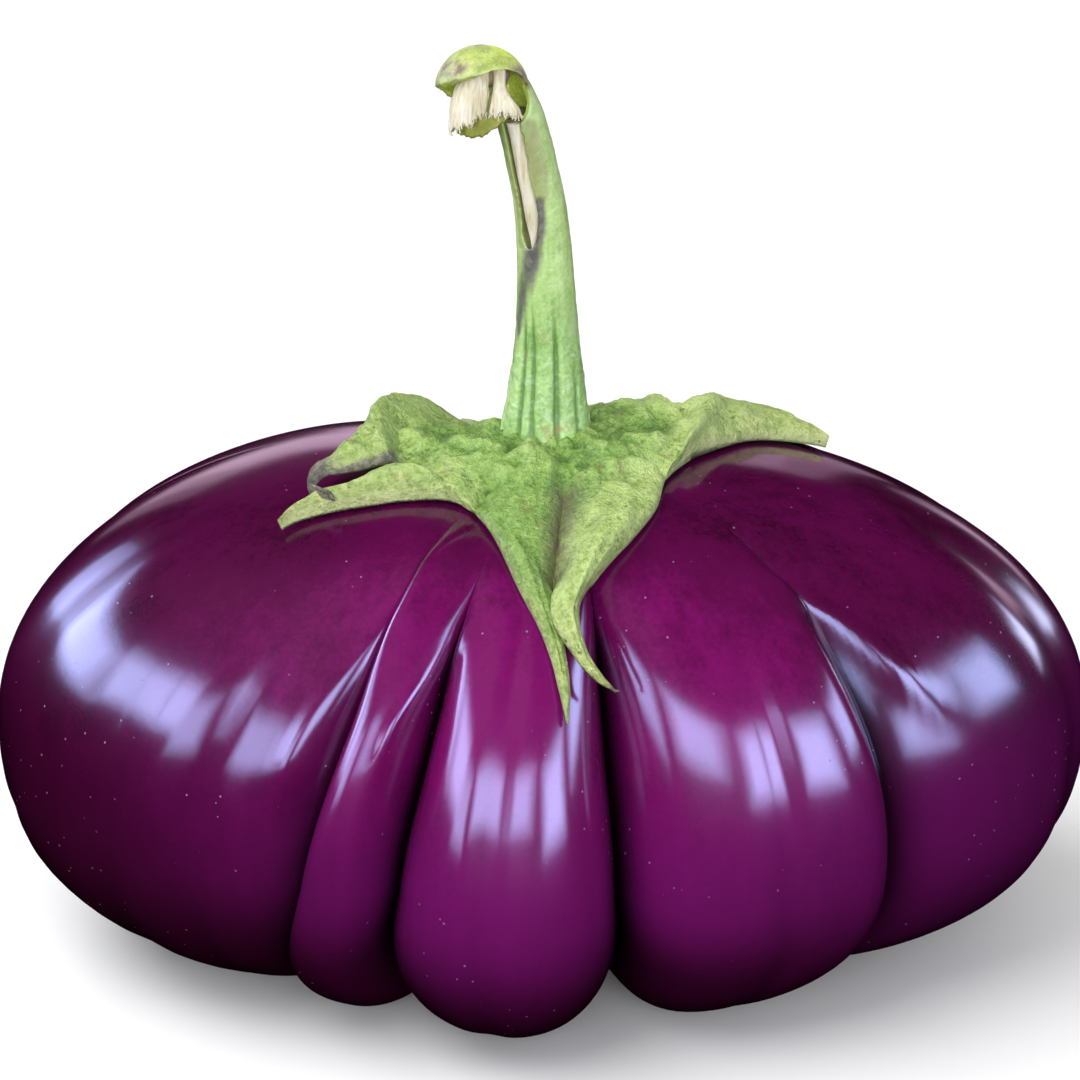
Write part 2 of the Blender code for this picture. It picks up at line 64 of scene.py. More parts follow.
FLOOR_CUT = 0.0033
FRONT_DROP = 0.0024
BACK_DROP = 0.0026
# Azimuth at the belly, lean and curl in degrees, depth in metres, latitudes where the groove
# starts and is full, and how full the lobe on its left and on its right swells
Groove = namedtuple("Groove", "name azimuth lean curl depth start full left_swell right_swell")
GROOVES = (
    Groove("back left", -138, 4, 0, 0.0100, 15, 75, 2.2, 2.2),
    Groove("left", -103, -3, 0, 0.0030, 25, 85, 2.0, 2.0),
    Groove("front left crease", -36.5, -11, -3, 0.0060, 20, 70, 2.6, 2.6),
    Groove("front left", -25, -8, 3, 0.0125, 30, 75, 2.4, 2.4),
    Groove("front right", 14.5, 2.5, 0.5, 0.0145, 25, 70, 2.4, 2.6),
    Groove("right crease", 53, 2, 1, 0.0075, 20, 75, 4.0, 1.7),
    Groove("right", 112, -3, 0, 0.0060, 20, 80, 2.2, 2.2),
    Groove("back right", 148, 2, 0, 0.0100, 20, 75, 2.2, 2.2),
    Groove("back", 186, -2, 0, 0.0080, 20, 75, 2.2, 2.2),
)
GROOVE_FADE = (150, 180)
# How far the lobe right of a groove swells out beyond the others, in metres
SWELLS = {"front left": 0.0042, "front left crease": -0.0010}
SWELL_LATITUDE = 100
SWELL_REACH = 35
# The groove left of the lobe, place across the lobe from -1 to 1, width and depth of a flute
FLUTES = (
    ("left", -0.35, 0.10, 0.0006),
    ("left", 0.25, 0.08, 0.0008),
    ("left", 0.62, 0.07, 0.0007),
    ("front left", -0.12, 0.12, 0.0007),
    ("front right", 0.15, 0.10, 0.0006),
    ("right crease", 0.0, 0.12, 0.0010),
    ("right crease", 0.55, 0.10, 0.0008),
)
FLUTES_START = (32, 60)
FLUTES_END = (110, 150)
# Swellings too low for the eye, which break up the reflections: times round the fruit, times from
# stem to foot, and height in metres
SWELLINGS = ((11, 2.0, 0.00013), (17, 3.1, 0.00007), (29, 1.3, 0.00002))
# Soft folds that run down from the shoulder, and a hollow behind the stem: azimuths and latitudes,
# over how many degrees the ends fade, width in degrees and height in metres
FOLDS = (
    (((-22.5, 22), (-28.4, 42.5), (-32.8, 53.3), (-36.4, 66), (-39.5, 84)), 14, 3.2, 0.0018),
    (((-13.5, 38), (-15.2, 42.7), (-20.3, 54), (-23.6, 61.5), (-26.5, 76)), 14, 1.3, 0.0008),
    (((43.5, 33), (51.5, 43), (55.0, 50), (57.6, 59), (61.5, 76)), 16, 2.1, 0.0014),
    (((-168, 0), (-167, 64)), 15, 5.2, -0.0030),
)
# A pale line, partly a scar and partly a painted highlight on the lobe's edge, runs along one groove,
# and a hairline along the bottom of the others: its width in metres, and the latitudes between which both
# fade in
SCARRED_AND_HIGHLIT_GROOVE = "right crease"
SCAR_AND_HIGHLIGHT_WIDTH = 0.00022
SCAR_AND_HIGHLIGHT_START = (42, 55)
# Painted shade: a groove darkens the skin where it is deeper than this, in metres, and only near its bottom
GROOVE_PAINTED_SHADE = (0.002, 0.012)
GROOVE_PAINTED_SHADE_POWER = 8


def smooth(x, low, high):
    """0 up to the low limit, 1 from the high one, with a soft step between them."""
    t = np.clip((x - low) / (high - low), 0, 1)
    return t * t * (3 - 2 * t)


def toward(azimuth):
    """Unit direction in plan at an azimuth."""
    return np.stack([np.sin(azimuth), -np.cos(azimuth)], -1)


def envelope(azimuth, latitude):
    """Smooth outer shape: radius, height, and the outward direction in the meridian plane."""
    facing = np.cos(azimuth)
    front, back = np.maximum(facing, 0) ** 2, np.maximum(-facing, 0) ** 2
    depth = np.where(facing > 0, HALF_DEPTH_FRONT, HALF_DEPTH_BACK)
    reach = 1 / np.sqrt((np.sin(azimuth) / HALF_WIDTH) ** 2 + (facing / depth) ** 2)
    belly = SIDE_BELLY + (FRONT_BELLY - SIDE_BELLY) * front
    belly = belly + (BACK_BELLY - SIDE_BELLY) * back
    rise = LEFT_SHOULDER_RISE * np.maximum(-np.sin(azimuth), 0) ** 2
    rise = rise - BACK_FALL * back
    top = HEIGHT + rise * smooth(np.degrees(latitude), 2, 28)
    s = np.maximum(np.sin(latitude), 1e-9)
    c = np.cos(latitude)
    upper = c > 0
    power = np.where(upper, SHOULDER_FULLNESS, UNDER_FULLNESS - FRONT_TAPER * front)
    drop = FRONT_DROP * front + BACK_DROP * back
    half = np.where(upper, top - belly, belly + drop)
    radius = reach * s ** (2 / power)
    height = belly + half * np.sign(c) * np.abs(c) ** (2 / power)
    height = height - TOP_DIMPLE * np.exp(-((radius / TOP_DIMPLE_RADIUS) ** 2)) * upper
    height = height + BASE_DIMPLE * np.exp(-((radius / BASE_DIMPLE_RADIUS) ** 2)) * ~upper
    out = s ** (2 - 2 / power) / reach
    up = np.sign(c) * np.abs(c) ** (2 - 2 / power) / half
    size = np.hypot(out, up)
    return radius, height - FLOOR_CUT, out / size, up / size


def groove_azimuth(groove, latitude):
    """Where a groove runs at a latitude, with its lean and curl."""
    k = np.clip((np.degrees(latitude) - 90) / 60, -1.2, 1.2)
    return np.radians(groove.azimuth + groove.lean * k + groove.curl * k * k)


def groove_depth(groove, latitude):
    """How deep a groove is at a latitude."""
    degrees = np.degrees(latitude)
    return groove.depth * smooth(degrees, groove.start, groove.full) * (1 - smooth(degrees, *GROOVE_FADE))


def rounding(u, power):
    """0 on a lobe's crest, 1 in the groove beside it."""
    return 1 - np.sqrt(np.maximum(1 - np.abs(u) ** power, 0))


def grooves_beside(number):
    """The grooves left and right of a lobe."""
    return GROOVES[number], GROOVES[(number + 1) % len(GROOVES)]


def lobe_depth(number, u, latitude):
    """How far the skin of a lobe lies inside the envelope, u from -1 to 1 across the lobe."""
    left, right = grooves_beside(number)
    degrees = np.degrees(latitude)
    depth = np.where(
        u < 0,
        groove_depth(left, latitude) * rounding(u, left.right_swell),
        groove_depth(right, latitude) * rounding(u, right.left_swell),
    )
    swell = SWELLS.get(left.name, 0)
    depth = depth - swell * (1 - u * u) * np.exp(-(((degrees - SWELL_LATITUDE) / SWELL_REACH) ** 2))
    along = smooth(degrees, *FLUTES_START) * (1 - smooth(degrees, *FLUTES_END))
    for name, place, width, deep in FLUTES:
        if name == left.name:
            depth = depth + deep * along * np.exp(-(((u - place) / width) ** 2))
    return depth


def lobe_edges(number, latitude):
    """Azimuths of the grooves left and right of a lobe."""
    left, right = (groove_azimuth(groove, latitude) for groove in grooves_beside(number))
    return left, left + (right - left) % (2 * math.pi)


def skin_depth(azimuth, latitude):
    """How far the skin lies inside the envelope at any azimuth and latitude."""
    depth = np.zeros_like(azimuth)
    for number in range(len(GROOVES)):
        left, right = lobe_edges(number, latitude)
        place = (azimuth - left) % (2 * math.pi)
        u = 2 * place / (right - left) - 1
        depth = np.where(place < right - left, lobe_depth(number, u, latitude), depth)
    return depth


def raised(azimuth, latitude, offset):
    """Points at an offset outside the envelope."""
    radius, height, out, up = envelope(azimuth, latitude)
    plan = toward(azimuth) * (radius + out * offset)[..., None]
    return np.concatenate([plan, (height + up * offset)[..., None]], -1)


def swelling(azimuth, latitude):
    """Low swellings of the skin, fading out towards both poles."""
    total = np.zeros_like(azimuth)
    for number, (around, down, height) in enumerate(SWELLINGS):
        wander = 0.8 * np.sin(3 * azimuth + 2.1 * number) + 0.5 * np.sin(2 * latitude + number)
        total = total + height * np.sin(around * azimuth + wander) * np.cos(down * latitude + 1.7 * number)
    return total * np.sin(latitude)


def fold_height(azimuth, latitude):
    """How far the folds raise the skin, in metres."""
    place = toward(azimuth) * np.degrees(latitude)[..., None]
    total = np.zeros_like(azimuth)
    for path, fade, width, height in FOLDS:
        bends = [toward(math.radians(bend)) * down for bend, down in path]
        away = np.full_like(azimuth, 1e9)
        for start, end in zip(bends, bends[1:]):
            along = np.clip(((place - start) @ (end - start)) / ((end - start) @ (end - start)), 0, 1)
            away = np.minimum(away, np.linalg.norm(place - start - along[..., None] * (end - start), axis=-1))
        down = np.degrees(latitude)
        first, last = path[0][1], path[-1][1]
        shown = smooth(down, first, first + fade) * (1 - smooth(down, last - fade, last))
        total = total + height * shown * np.exp(-((away / width) ** 2))
    return total


def add_piece(name, points, faces):
    """Mesh object with smooth faces, its place in its mesh."""
    mesh = bpy.data.meshes.new(name)
    mesh.from_pydata(np.asarray(points, float).tolist(), [], [tuple(map(int, f)) for f in faces])
    mesh.update()
    mesh.shade_smooth()
    piece = bpy.data.objects.new(name, mesh)
    bpy.context.scene.collection.objects.link(piece)
    return piece


def add_attribute(piece, name, values):
    """Stores a number or a vector for each vertex, for the material to read."""
    values = np.asarray(values, np.float32)
    kind = "FLOAT" if values.ndim == 1 else "FLOAT_VECTOR"
    layer = piece.data.attributes.new(name, kind, "POINT")
    layer.data.foreach_set("value" if values.ndim == 1 else "vector", values.ravel())


def ring_band(first, second, count):
    """Faces between two closed rings of vertices, facing out when the second lies above."""
    return [
        (first + i, first + (i + 1) % count, second + (i + 1) % count, second + i)
        for i in range(count)
    ]


def fan(centre, ring, count, facing_up):
    """Faces from one vertex to a closed ring of them."""
    found = []
    for i in range(count):
        j = (i + 1) % count
        found.append((centre, ring + i, ring + j) if facing_up else (centre, ring + j, ring + i))
    return found


def skin_marks(number, across, azimuth, latitude):
    """How far the painted shade of the grooves beside a lobe shows on it, and the pale line on its left,
    partly a scar and partly a painted highlight.
    """
    left, right = grooves_beside(number)
    full = groove_depth(left, latitude) + groove_depth(right, latitude)
    groove = np.abs(across) ** GROOVE_PAINTED_SHADE_POWER * smooth(full, *GROOVE_PAINTED_SHADE)
    start, end = lobe_edges(number, latitude)
    half_width = (end - start) / 2 * envelope(azimuth, latitude)[0]
    distance = (across + 1) * (half_width if left.name == SCARRED_AND_HIGHLIT_GROOVE else 1)
    scar = np.exp(-((distance / SCAR_AND_HIGHLIGHT_WIDTH) ** 2)) * smooth(np.degrees(latitude), *SCAR_AND_HIGHLIGHT_START)
    return groove, scar


def make_fruit():
    """The whole skin, lobe by lobe in rows from the foot up, with its painted groove shade, its pale line of
    scar and painted highlight, and its place.
    """
    latitudes = np.radians(np.linspace(LAST_LATITUDE, FIRST_LATITUDE, FRUIT_ROWS))
    across = np.sin(math.pi / 2 * np.linspace(-1, 1, COLUMNS_PER_LOBE + 1)[:-1])
    points, grooves, scars, places = [], [], [], []
    for latitude in latitudes:
        for number in range(len(GROOVES)):
            left, right = lobe_edges(number, latitude)
            azimuth = left + (right - left) * (across + 1) / 2
            row = np.full_like(across, latitude)
            offset = swelling(azimuth, row) + fold_height(azimuth, row) - lobe_depth(number, across, row)
            points.append(raised(azimuth, row, offset))
            groove, scar = skin_marks(number, across, azimuth, row)
            grooves.append(groove)
            scars.append(scar)
            around = toward(azimuth) * np.sin(row)[:, None] ** 0.5
            places.append(np.column_stack([around, row]))
    columns = COLUMNS_PER_LOBE * len(GROOVES)
    poles = raised(np.zeros(2), np.radians([180.0, 0.0]), np.zeros(2))
    points = np.concatenate(points + [poles])
    points[:, 2] = np.maximum(points[:, 2], 0)
    faces = []
    for row in range(FRUIT_ROWS - 1):
        faces += ring_band(row * columns, (row + 1) * columns, columns)
    faces += fan(len(points) - 2, 0, columns, False)
    faces += fan(len(points) - 1, (FRUIT_ROWS - 1) * columns, columns, True)
    fruit = add_piece("fruit_skin", points, faces)
    add_attribute(fruit, "groove", np.concatenate(grooves + [np.zeros(2)]))
    add_attribute(fruit, "scar", np.concatenate(scars + [np.zeros(2)]))
    ends = [[0, 0, math.pi], [0, 0, 0]]
    add_attribute(fruit, "place", np.concatenate(places + [ends]))
    return fruit


class Value:
    """One socket of a material. Python's operators on it add Math nodes."""

    def __init__(self, tree, socket):
        self.tree = tree
        self.socket = socket

    def node(self, kind, settings, inputs, output=0):
        """Any other node: its settings come first, then the values or links of its sockets."""
        made = self.tree.nodes.new(kind)
        for name, setting in settings.items():
            setattr(made, name, setting)
        for name, value in inputs.items():
            if isinstance(value, Value):
                self.tree.links.new(value.socket, made.inputs[name])
            else:
                made.inputs[name].default_value = value
        return Value(self.tree, made.outputs[output])

    def math(self, operation, first, second):
        return self.node("ShaderNodeMath", {"operation": operation}, {0: first, 1: second})

    def __add__(self, other):
        return self.math("ADD", self, other)

    __radd__ = __add__

    def __sub__(self, other):
        return self.math("SUBTRACT", self, other)

    def __rsub__(self, other):
        return self.math("SUBTRACT", other, self)

    def __mul__(self, other):
        return self.math("MULTIPLY", self, other)

    __rmul__ = __mul__

    def __truediv__(self, other):
        return self.math("DIVIDE", self, other)

    def steps(self, low, high, bottom=0.0, top=1.0):
        """Runs smoothly from bottom to top as this value goes from low to high."""
        settings = {"interpolation_type": "SMOOTHSTEP"}
        limits = {"Value": self, "From Min": low, "From Max": high, "To Min": bottom, "To Max": top}
        return self.node("ShaderNodeMapRange", settings, limits)

    def noise(self, scale, detail=3.0, roughness=0.5, stretch=(1, 1, 1), shift=(0, 0, 0)):
        """Soft noise over this place, stretched by making one of its directions smaller."""
        place = self.node("ShaderNodeMapping", {}, {"Vector": self, "Scale": stretch, "Location": shift})
        inputs = {"Vector": place, "Scale": scale, "Detail": detail, "Roughness": roughness}
        return self.node("ShaderNodeTexNoise", {}, inputs)

    def dots(self, scale, size):
        """Round dots scattered over this place, 1 inside a dot."""
        cells = self.node("ShaderNodeTexVoronoi", {}, {"Vector": self, "Scale": scale}, "Distance")
        return cells.steps(size * 0.6, size, 1.0, 0.0)

    def mixed(self, first, second):
        """Colour that goes from the first to the second as this value goes from 0 to 1."""
        settings = {"data_type": "RGBA"}
        return self.node("ShaderNodeMix", settings, {0: self, 6: first, 7: second}, 2)

    def bump(self, distance, strength):
        """Relief that stands this far out of the surface where this value is 1."""
        inputs = {"Height": self, "Distance": distance, "Strength": strength}
        return self.node("ShaderNodeBump", {}, inputs)


def colour(red, green, blue):
    return (red, green, blue, 1.0)


def new_material(name, **constants):
    """Material with constants set on the shader, its object coordinates, and a way to feed it."""
    material = bpy.data.materials.new(name)
    material.use_nodes = True
    tree = material.node_tree
    shader = tree.nodes["Principled BSDF"]
    for socket, value in constants.items():
        shader.inputs[socket.replace("_", " ")].default_value = value
    start = Value(tree, None)
    place = start.node("ShaderNodeTexCoord", {}, {}, "Object")

    def feed(socket, value):
        tree.links.new(value.socket, shader.inputs[socket])

    def attribute(name, output="Fac"):
        return start.node("ShaderNodeAttribute", {"attribute_name": name}, {}, output)

    return material, place, attribute, feed


def skin_material():
    """Dark purple skin: painted shade near black in the grooves, magenta streaks, pale pores, a thin scar
    that is partly a painted highlight, and painted light, shade and reflection by side.
    """
    material, place, attribute, feed = new_material(
        "skin", Specular_IOR_Level=0.5, Coat_Weight=0.30, Coat_Roughness=0.10, Coat_IOR=1.45
    )
    skin = attribute("place", "Vector")
    groove = attribute("groove")
    scar = attribute("scar")
    near_black = colour(0.009, 0.0005, 0.006)
    deep = colour(0.026, 0.0008, 0.012)
    plum = colour(0.075, 0.0018, 0.042)
    magenta = colour(0.160, 0.0035, 0.100)
    painted_violet_reflection = colour(0.110, 0.0060, 0.098)
    pale = colour(0.42, 0.25, 0.42)
    streaks = skin.noise(26, 4, 0.6, stretch=(1, 1, 0.10))
    clouds = skin.noise(3.0, 4, 0.55, stretch=(1, 1, 0.6), shift=(3, 1, 0))
    mottle = place.noise(420, 4, 0.72)
    grain = place.noise(1500, 2, 0.6)
    axes = {name: skin.node("ShaderNodeSeparateXYZ", {}, {"Vector": skin}, name) for name in "XYZ"}
    front = (axes["Y"] * -1).steps(0.25, 0.95)
    left = (axes["X"] * -1).steps(0.30, 0.80)
    right = axes["X"].steps(0.50, 0.90)
    # Lighter magenta on the front lobes below the shoulder: partly the skin's own tone and partly painted
    # light on the side that faces the front lights.
    front_tone_and_painted_light = front * axes["Z"].steps(0.35, 0.75) * axes["Z"].steps(1.65, 2.15, 1.0, 0.0)
    tone = front_tone_and_painted_light * 0.70 + clouds.steps(0.30, 0.70) * 0.30 + streaks.steps(0.30, 0.70) * 0.14
    tone = tone + (mottle - 0.5) * 0.38 + (grain - 0.5) * 0.45
    body = tone.steps(-0.10, 0.42).mixed(deep, plum)
    body = tone.steps(0.38, 1.10).mixed(body, magenta)
    # Painted reflection: a violet glow on the lower front and right, standing in for bluish light from below
    # the horizon.
    low = axes["Z"].steps(1.10, 1.60)
    body = (low * front * 0.65).mixed(body, painted_violet_reflection)
    body = (low * right * 0.55).mixed(body, painted_violet_reflection)
    # Painted shade: darker towards the bottom, on the lower sides away from the front and right, and on the
    # left; on the left it is partly the skin's own darker tone.
    body = (axes["Z"].steps(1.45, 2.05) * (0.88 - right * 0.50)).mixed(body, deep)
    body = (low * (1 - front) * (1 - right) * 0.45).mixed(body, deep)
    body = (left * (0.25 + low * 0.25)).mixed(body, deep)
    # Painted shade: near black where the grooves are deep.
    body = groove.steps(0.05, 0.9).mixed(body, near_black)
    pores = place.dots(480, 0.085) * place.noise(60, 2, 0.5, shift=(5, 5, 5)).steps(0.47, 0.58)
    body = (pores * 0.42).mixed(body, pale)
    # The pale scar line and groove hairlines, partly a scar and partly a painted highlight.
    body = (scar * 0.70).mixed(body, colour(0.50, 0.33, 0.50))
    feed("Base Color", body)
    dull = place.noise(35, 4, 0.6, shift=(1, 7, 2)).steps(0.3, 0.75, 0.15, 0.21)
    feed("Roughness", dull + pores * 0.3 + scar * 0.2)
    relief = place.noise(1400, 2, 0.6) * 0.12 + place.noise(160, 3, 0.5) * 0.65 + pores * 0.4
    feed("Normal", relief.bump(0.00010, 0.35))
    return material


fruit = make_fruit()
fruit.data.materials.append(skin_material())
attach(fruit, "root")
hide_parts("fruit")

# Calyx. Seven sepals grown together into one thick leathery star, which clasps the fruit round the
# stem's foot. It is lumpy in the middle, thin and pale at its edges and withered grey at two tips.
# Its flat pattern is in degrees: azimuth round the stem, radius as a latitude on the fruit. It lies
# on the skin, which dips under it behind the stem, and closes under the stem's foot.
CALYX_GAP = 0.0005
BLADE_THICKNESS = 0.0011
EDGE_SHARE = 0.35
EDGE_ROUNDING = 1.1
RING_RADIUS = 9.5
RING_RISE = 0.0032
RING_REACH = 5.5
RING_DIP = 0.9
RING_DIP_AZIMUTH = -148
RIDGE_RISE = 0.0013
RIDGE_FADE = (30, 50)
GROOVE_SHARE = 0.35
CENTRE_ROWS = 20
BLADE_ROWS_PER_STATION = 8
BLADE_COLUMNS = 36
TIP_TAPER = 0.15
# A sepal's length from notch to tip in degrees, for how near a point lies to its tip
TIP_REACH = 18
# Where along a sepal, from 0 at the ring to 1 at its notch and 2 at its tip, its edges come free
FREE_START = (1.0, 1.06)
RIM_WIDTH = 0.40
MARGIN_WIDTH = 2.4
# Points of two sepals that lie within this many metres are one point of the calyx
WELD_SIZE = 1e-7
WITHERED_THINNING = 0.5
COLLAR_ROWS = 9
# Lumps of the collar round the stem: size in millimetres, height in metres and seed
COLLAR_LUMPS = ((2.4, 0.0011, 9.0), (1.1, 0.0007, 2.0))
COLLAR_SINK = 0.0003
FOOT_CENTRE = 0.0008
FOOT_RADIUS = 0.0054
FOOT_HEIGHT = 0.0759
FOOT_FLOOR = 0.0735
MM = 0.001
# Where each seam between two sepals leaves the ring, in degrees of azimuth
SEAM_STARTS = (-143, -58, -24, 24, 60, 125, 172)
# Sepals from the back left, turning past the front: stations from notch to tip, each with the
# left edge's azimuth and radius, the right edge's, and the lift of left edge, middle and right
# edge off the fruit in millimetres
SEPALS = (
    # left, at the back: humped, its withered end curling forwards over the next one
    (
        (-143, 14, -63, 17, 0, 0, 0),
        (-133, 18, -61.5, 17.6, 1.9, 3.3, 1.0),
        (-112, 16.4, -60.8, 18.2, 1.8, 3.0, 1.7),
        (-93, 16.2, -60.6, 19.4, 1.8, 2.4, 2.0),
        (-80, 18.2, -61, 20.8, 2.0, 2.2, 2.0),
        (-72.5, 21, -61.5, 22.7, 1.9, 2.1, 2.0),
        (-68.3, 23.6, -63.2, 24.4, 1.7, 1.9, 1.9),
        (-66.6, 25.6, -64.7, 25.7, 1.7, 1.8, 1.8),
        (-65.2, 27.7, -63.9, 27.2, 1.6, 1.6, 1.6),
        (-61.6, 29.4, -60.9, 28.8, 1.8, 1.8, 1.8),
        (-57.6, 29.9, -57.6, 29.3, 2.4, 2.4, 2.4),
        (-54, 29.8, -54, 29.3, 2.3, 2.3, 2.3),
    ),
    # front left, long and pointed
    (
        (-63, 17, -24, 22.4, 0, 0, 0),
        (-61.0, 20.0, -35.5, 20.6, 0.3, 1.3, 0),
        (-58.6, 23.6, -44.5, 22.7, 0.3, 1.2, 0),
        (-57.8, 26.6, -51.5, 26.5, 0.3, 0.9, 0),
        (-60.2, 29.6, -56.2, 30, 0.3, 0.5, 0.1),
        (-60.4, 33.0, -58.8, 33.2, 0.3, 0.4, 0.2),
        (-59.4, 35.8, -59.0, 35.5, 0.4, 0.4, 0.4),
    ),
    # front, the longest
    (
        (-24, 22.4, 3, 38.5, 0, 0, 0),
        (-13.5, 28.3, 3.4, 41.5, 0.1, 0.5, 0.1),
        (-5.5, 37.5, 4.2, 45.5, 0.1, 0.5, 0.1),
        (0.2, 46, 4.9, 49.5, 0.1, 0.4, 0.1),
        (2.6, 52.3, 5.3, 54, 0.1, 0.25, 0.1),
        (4.0, 60.2, 5.1, 60.4, 0.3, 0.3, 0.3),
    ),
    # front right, folded over the front one, its tip turned out
    (
        (3, 38.5, 57, 16.7, 0, 0, 0),
        (2.3, 40.8, 40, 23.2, 1.3, 1.4, 0),
        (2.1, 43, 27, 29, 1.5, 1.9, 0.1),
        (2.6, 45.2, 17, 34.2, 1.6, 2.0, 0.2),
        (3.9, 47.2, 9.6, 39.6, 1.6, 1.9, 0.3),
        (5.6, 49.4, 8.1, 44, 1.6, 1.8, 0.5),
        (7.6, 52, 9, 49.4, 1.7, 1.7, 1.1),
        (10.6, 54.6, 11.2, 53.2, 2.1, 2.1, 1.9),
        (13.8, 55.9, 13.8, 55.1, 2.6, 2.6, 2.6),
    ),
    # right, a long ridge along the shoulder
    (
        (57, 16.7, 125, 17, 0, 0, 0),
        (68, 15.3, 124, 22, 0, 2.6, 1.6),
        (80, 15.3, 122, 27, 0, 1.7, 1.5),
        (92, 18, 120, 30.5, 0, 1.5, 1.4),
        (100.5, 22.3, 117, 32.0, 0, 1.1, 0.8),
        (103.5, 27, 110.5, 32, 0, 0.5, 0.3),
        (103.6, 31.8, 104.1, 32.2, 0.2, 0.2, 0.2),
    ),
    # right, at the back
    (
        (125, 17, 172, 14, 0, 0, 0),
        (132, 22, 164, 21, 0.3, 0.5, 0.2),
        (139, 28, 158, 28, 0.3, 0.5, 0.2),
        (145, 34, 153, 34, 0.2, 0.4, 0.2),
        (149, 39, 151, 39, 0.2, 0.2, 0.2),
    ),
    # back
    (
        (172, 14, 217, 14, 0, 0, 0),
        (183, 22, 208, 22, 0, 0, 0),
        (189, 30, 203, 30, 0, 0, 0),
        (193, 38, 199, 38, 0.1, 0.1, 0.1),
        (195.5, 45, 197, 45, 0.2, 0.2, 0.2),
    ),
)
# How withered each of two sepals is: where along it, from 1 at its notch to 2 at its tip, the grey
# starts and is full. The first one's right edge is a grey fold as well.
WITHERED = {0: (1.46, 1.66), 3: (1.90, 1.97)}
FOLDED = 0
# Ends of the stained fold beside the longest sepal, as azimuth and radius, and its width
STAIN_START = (11.5, 18)
STAIN_END = (3.5, 37)
STAIN_WIDTH = 2.0
# Random lumps: their size in degrees, height in metres at the ring and further out
LUMPS = (
    (4.4, 0.00115, 0.00022),
    (2.1, 0.00110, 0.00028),
    (1.05, 0.00060, 0.00018),
    (0.55, 0.00026, 0.00009),
)
LUMPS_REACH = 8
# Single knobs: azimuth, radius and size in degrees, and height in metres
KNOBS = (
    (-44, 8.8, 2.3, 0.0011),
    (5, 8.4, 1.6, 0.0012),
    (50, 10.3, 2.0, 0.0010),
    (50, 14.8, 2.3, 0.0007),
    (-20, 13.5, 2.2, 0.0006),
    (-2, 15, 2.6, 0.0006),
    (11, 20, 3.4, -0.0009),
    (27, 11.5, 2.2, -0.0006),
    (117, 13.5, 3.6, 0.0021),
)
# Veins: place across a sepal from -1 to 1, width and height, and where along it they start and end
VEINS = ((0.0, 0.16, 0.00040), (-0.50, 0.12, 0.00022), (0.50, 0.12, 0.00022))
VEINS_START = (0.5, 1.1)
VEINS_END = (1.6, 1.9)
# Furrow between two sepals: its depth, how narrow it is, and where it starts and ends
FURROW = 0.0011
FURROW_POWER = 5
FURROW_START = (0.25, 0.70)
FURROW_END = (0.95, 1.12)


def plane_point(azimuth, radius):
    """Point of the calyx's flat pattern."""
    return toward(np.radians(azimuth)) * np.asarray(radius, float)[..., None]


def spline(values, t):
    """Smooth curve through the values, t counting them from 0."""
    values = np.asarray(values, float)
    i = np.clip(np.floor(t).astype(int), 0, len(values) - 2)
    f = (t - i)[:, None]
    before = values[np.maximum(i - 1, 0)]
    after = values[np.minimum(i + 2, len(values) - 1)]
    start, end = values[i], values[i + 1]
    a = 2 * start
    b = end - before
    c = 2 * before - 5 * start + 4 * end - after
    d = 3 * start - before - 3 * end + after
    return (a + b * f + c * f * f + d * f ** 3) / 2


def random_lumps(points, size, seed):
    """Soft random lumps over points of a plane or of space, from -1 to 1."""
    flat = np.asarray(points).reshape(-1, np.asarray(points).shape[-1]) / size
    if flat.shape[1] == 2:
        flat = np.column_stack([flat, np.zeros(len(flat))])
    found = [noise.noise(Vector((x, y, z + seed))) for x, y, z in flat]
    return np.array(found).reshape(np.asarray(points).shape[:-1])


def sepal_pattern(number, across):
    """Flat pattern, lift, place along (0 ring, 1 notch, 2 tip) and half width of a sepal's rows."""
    stations = np.array(SEPALS[number], float)
    steps = BLADE_ROWS_PER_STATION * (len(stations) - 1)
    t = np.linspace(0, len(stations) - 1, steps + 1)
    left = spline(plane_point(stations[:, 0], stations[:, 1]), t)
    right = spline(plane_point(stations[:, 2], stations[:, 3]), t)
    run = 1 + t / (len(stations) - 1)
    taper = np.clip((2 - run) / TIP_TAPER, 0.02, 1)[:, None] ** 0.5
    middle = (left + right) / 2
    left, right = middle + (left - middle) * taper, middle + (right - middle) * taper
    lifts = spline(stations[:, 4:7], t) * MM
    side = (across + 1) / 2
    blade = left[:, None] * (1 - side)[None, :, None] + right[:, None] * side[None, :, None]
    edge = lifts[:, :1] * (1 - side) + lifts[:, 2:] * side
    bow = (lifts[:, 1:2] - (lifts[:, :1] + lifts[:, 2:]) / 2) * (1 - across ** 2)
    span = (SEAM_STARTS[(number + 1) % len(SEAM_STARTS)] - SEAM_STARTS[number]) % 360
    start = SEAM_STARTS[number] + span * side
    inner = plane_point(start, np.full_like(start, RING_RADIUS))
    share = np.linspace(0, 1, CENTRE_ROWS + 1)[:-1]
    centre = inner * (1 - share)[:, None, None] + blade[0] * share[:, None, None]
    lift = np.concatenate([np.zeros((CENTRE_ROWS, len(across))), edge + bow])
    half = np.hypot(*(right - left).T) / 2
    half = np.concatenate([np.full(CENTRE_ROWS, half[0]), half])
    return np.concatenate([centre, blade]), lift, np.concatenate([share, run]), half


def skin_base(azimuth, latitude):
    """The calyx follows swells and folds of the skin, and spans its grooves like a taut sheet."""
    depth = skin_depth(azimuth, latitude)
    return fold_height(azimuth, latitude) - np.where(depth > 0, depth * GROOVE_SHARE, depth)


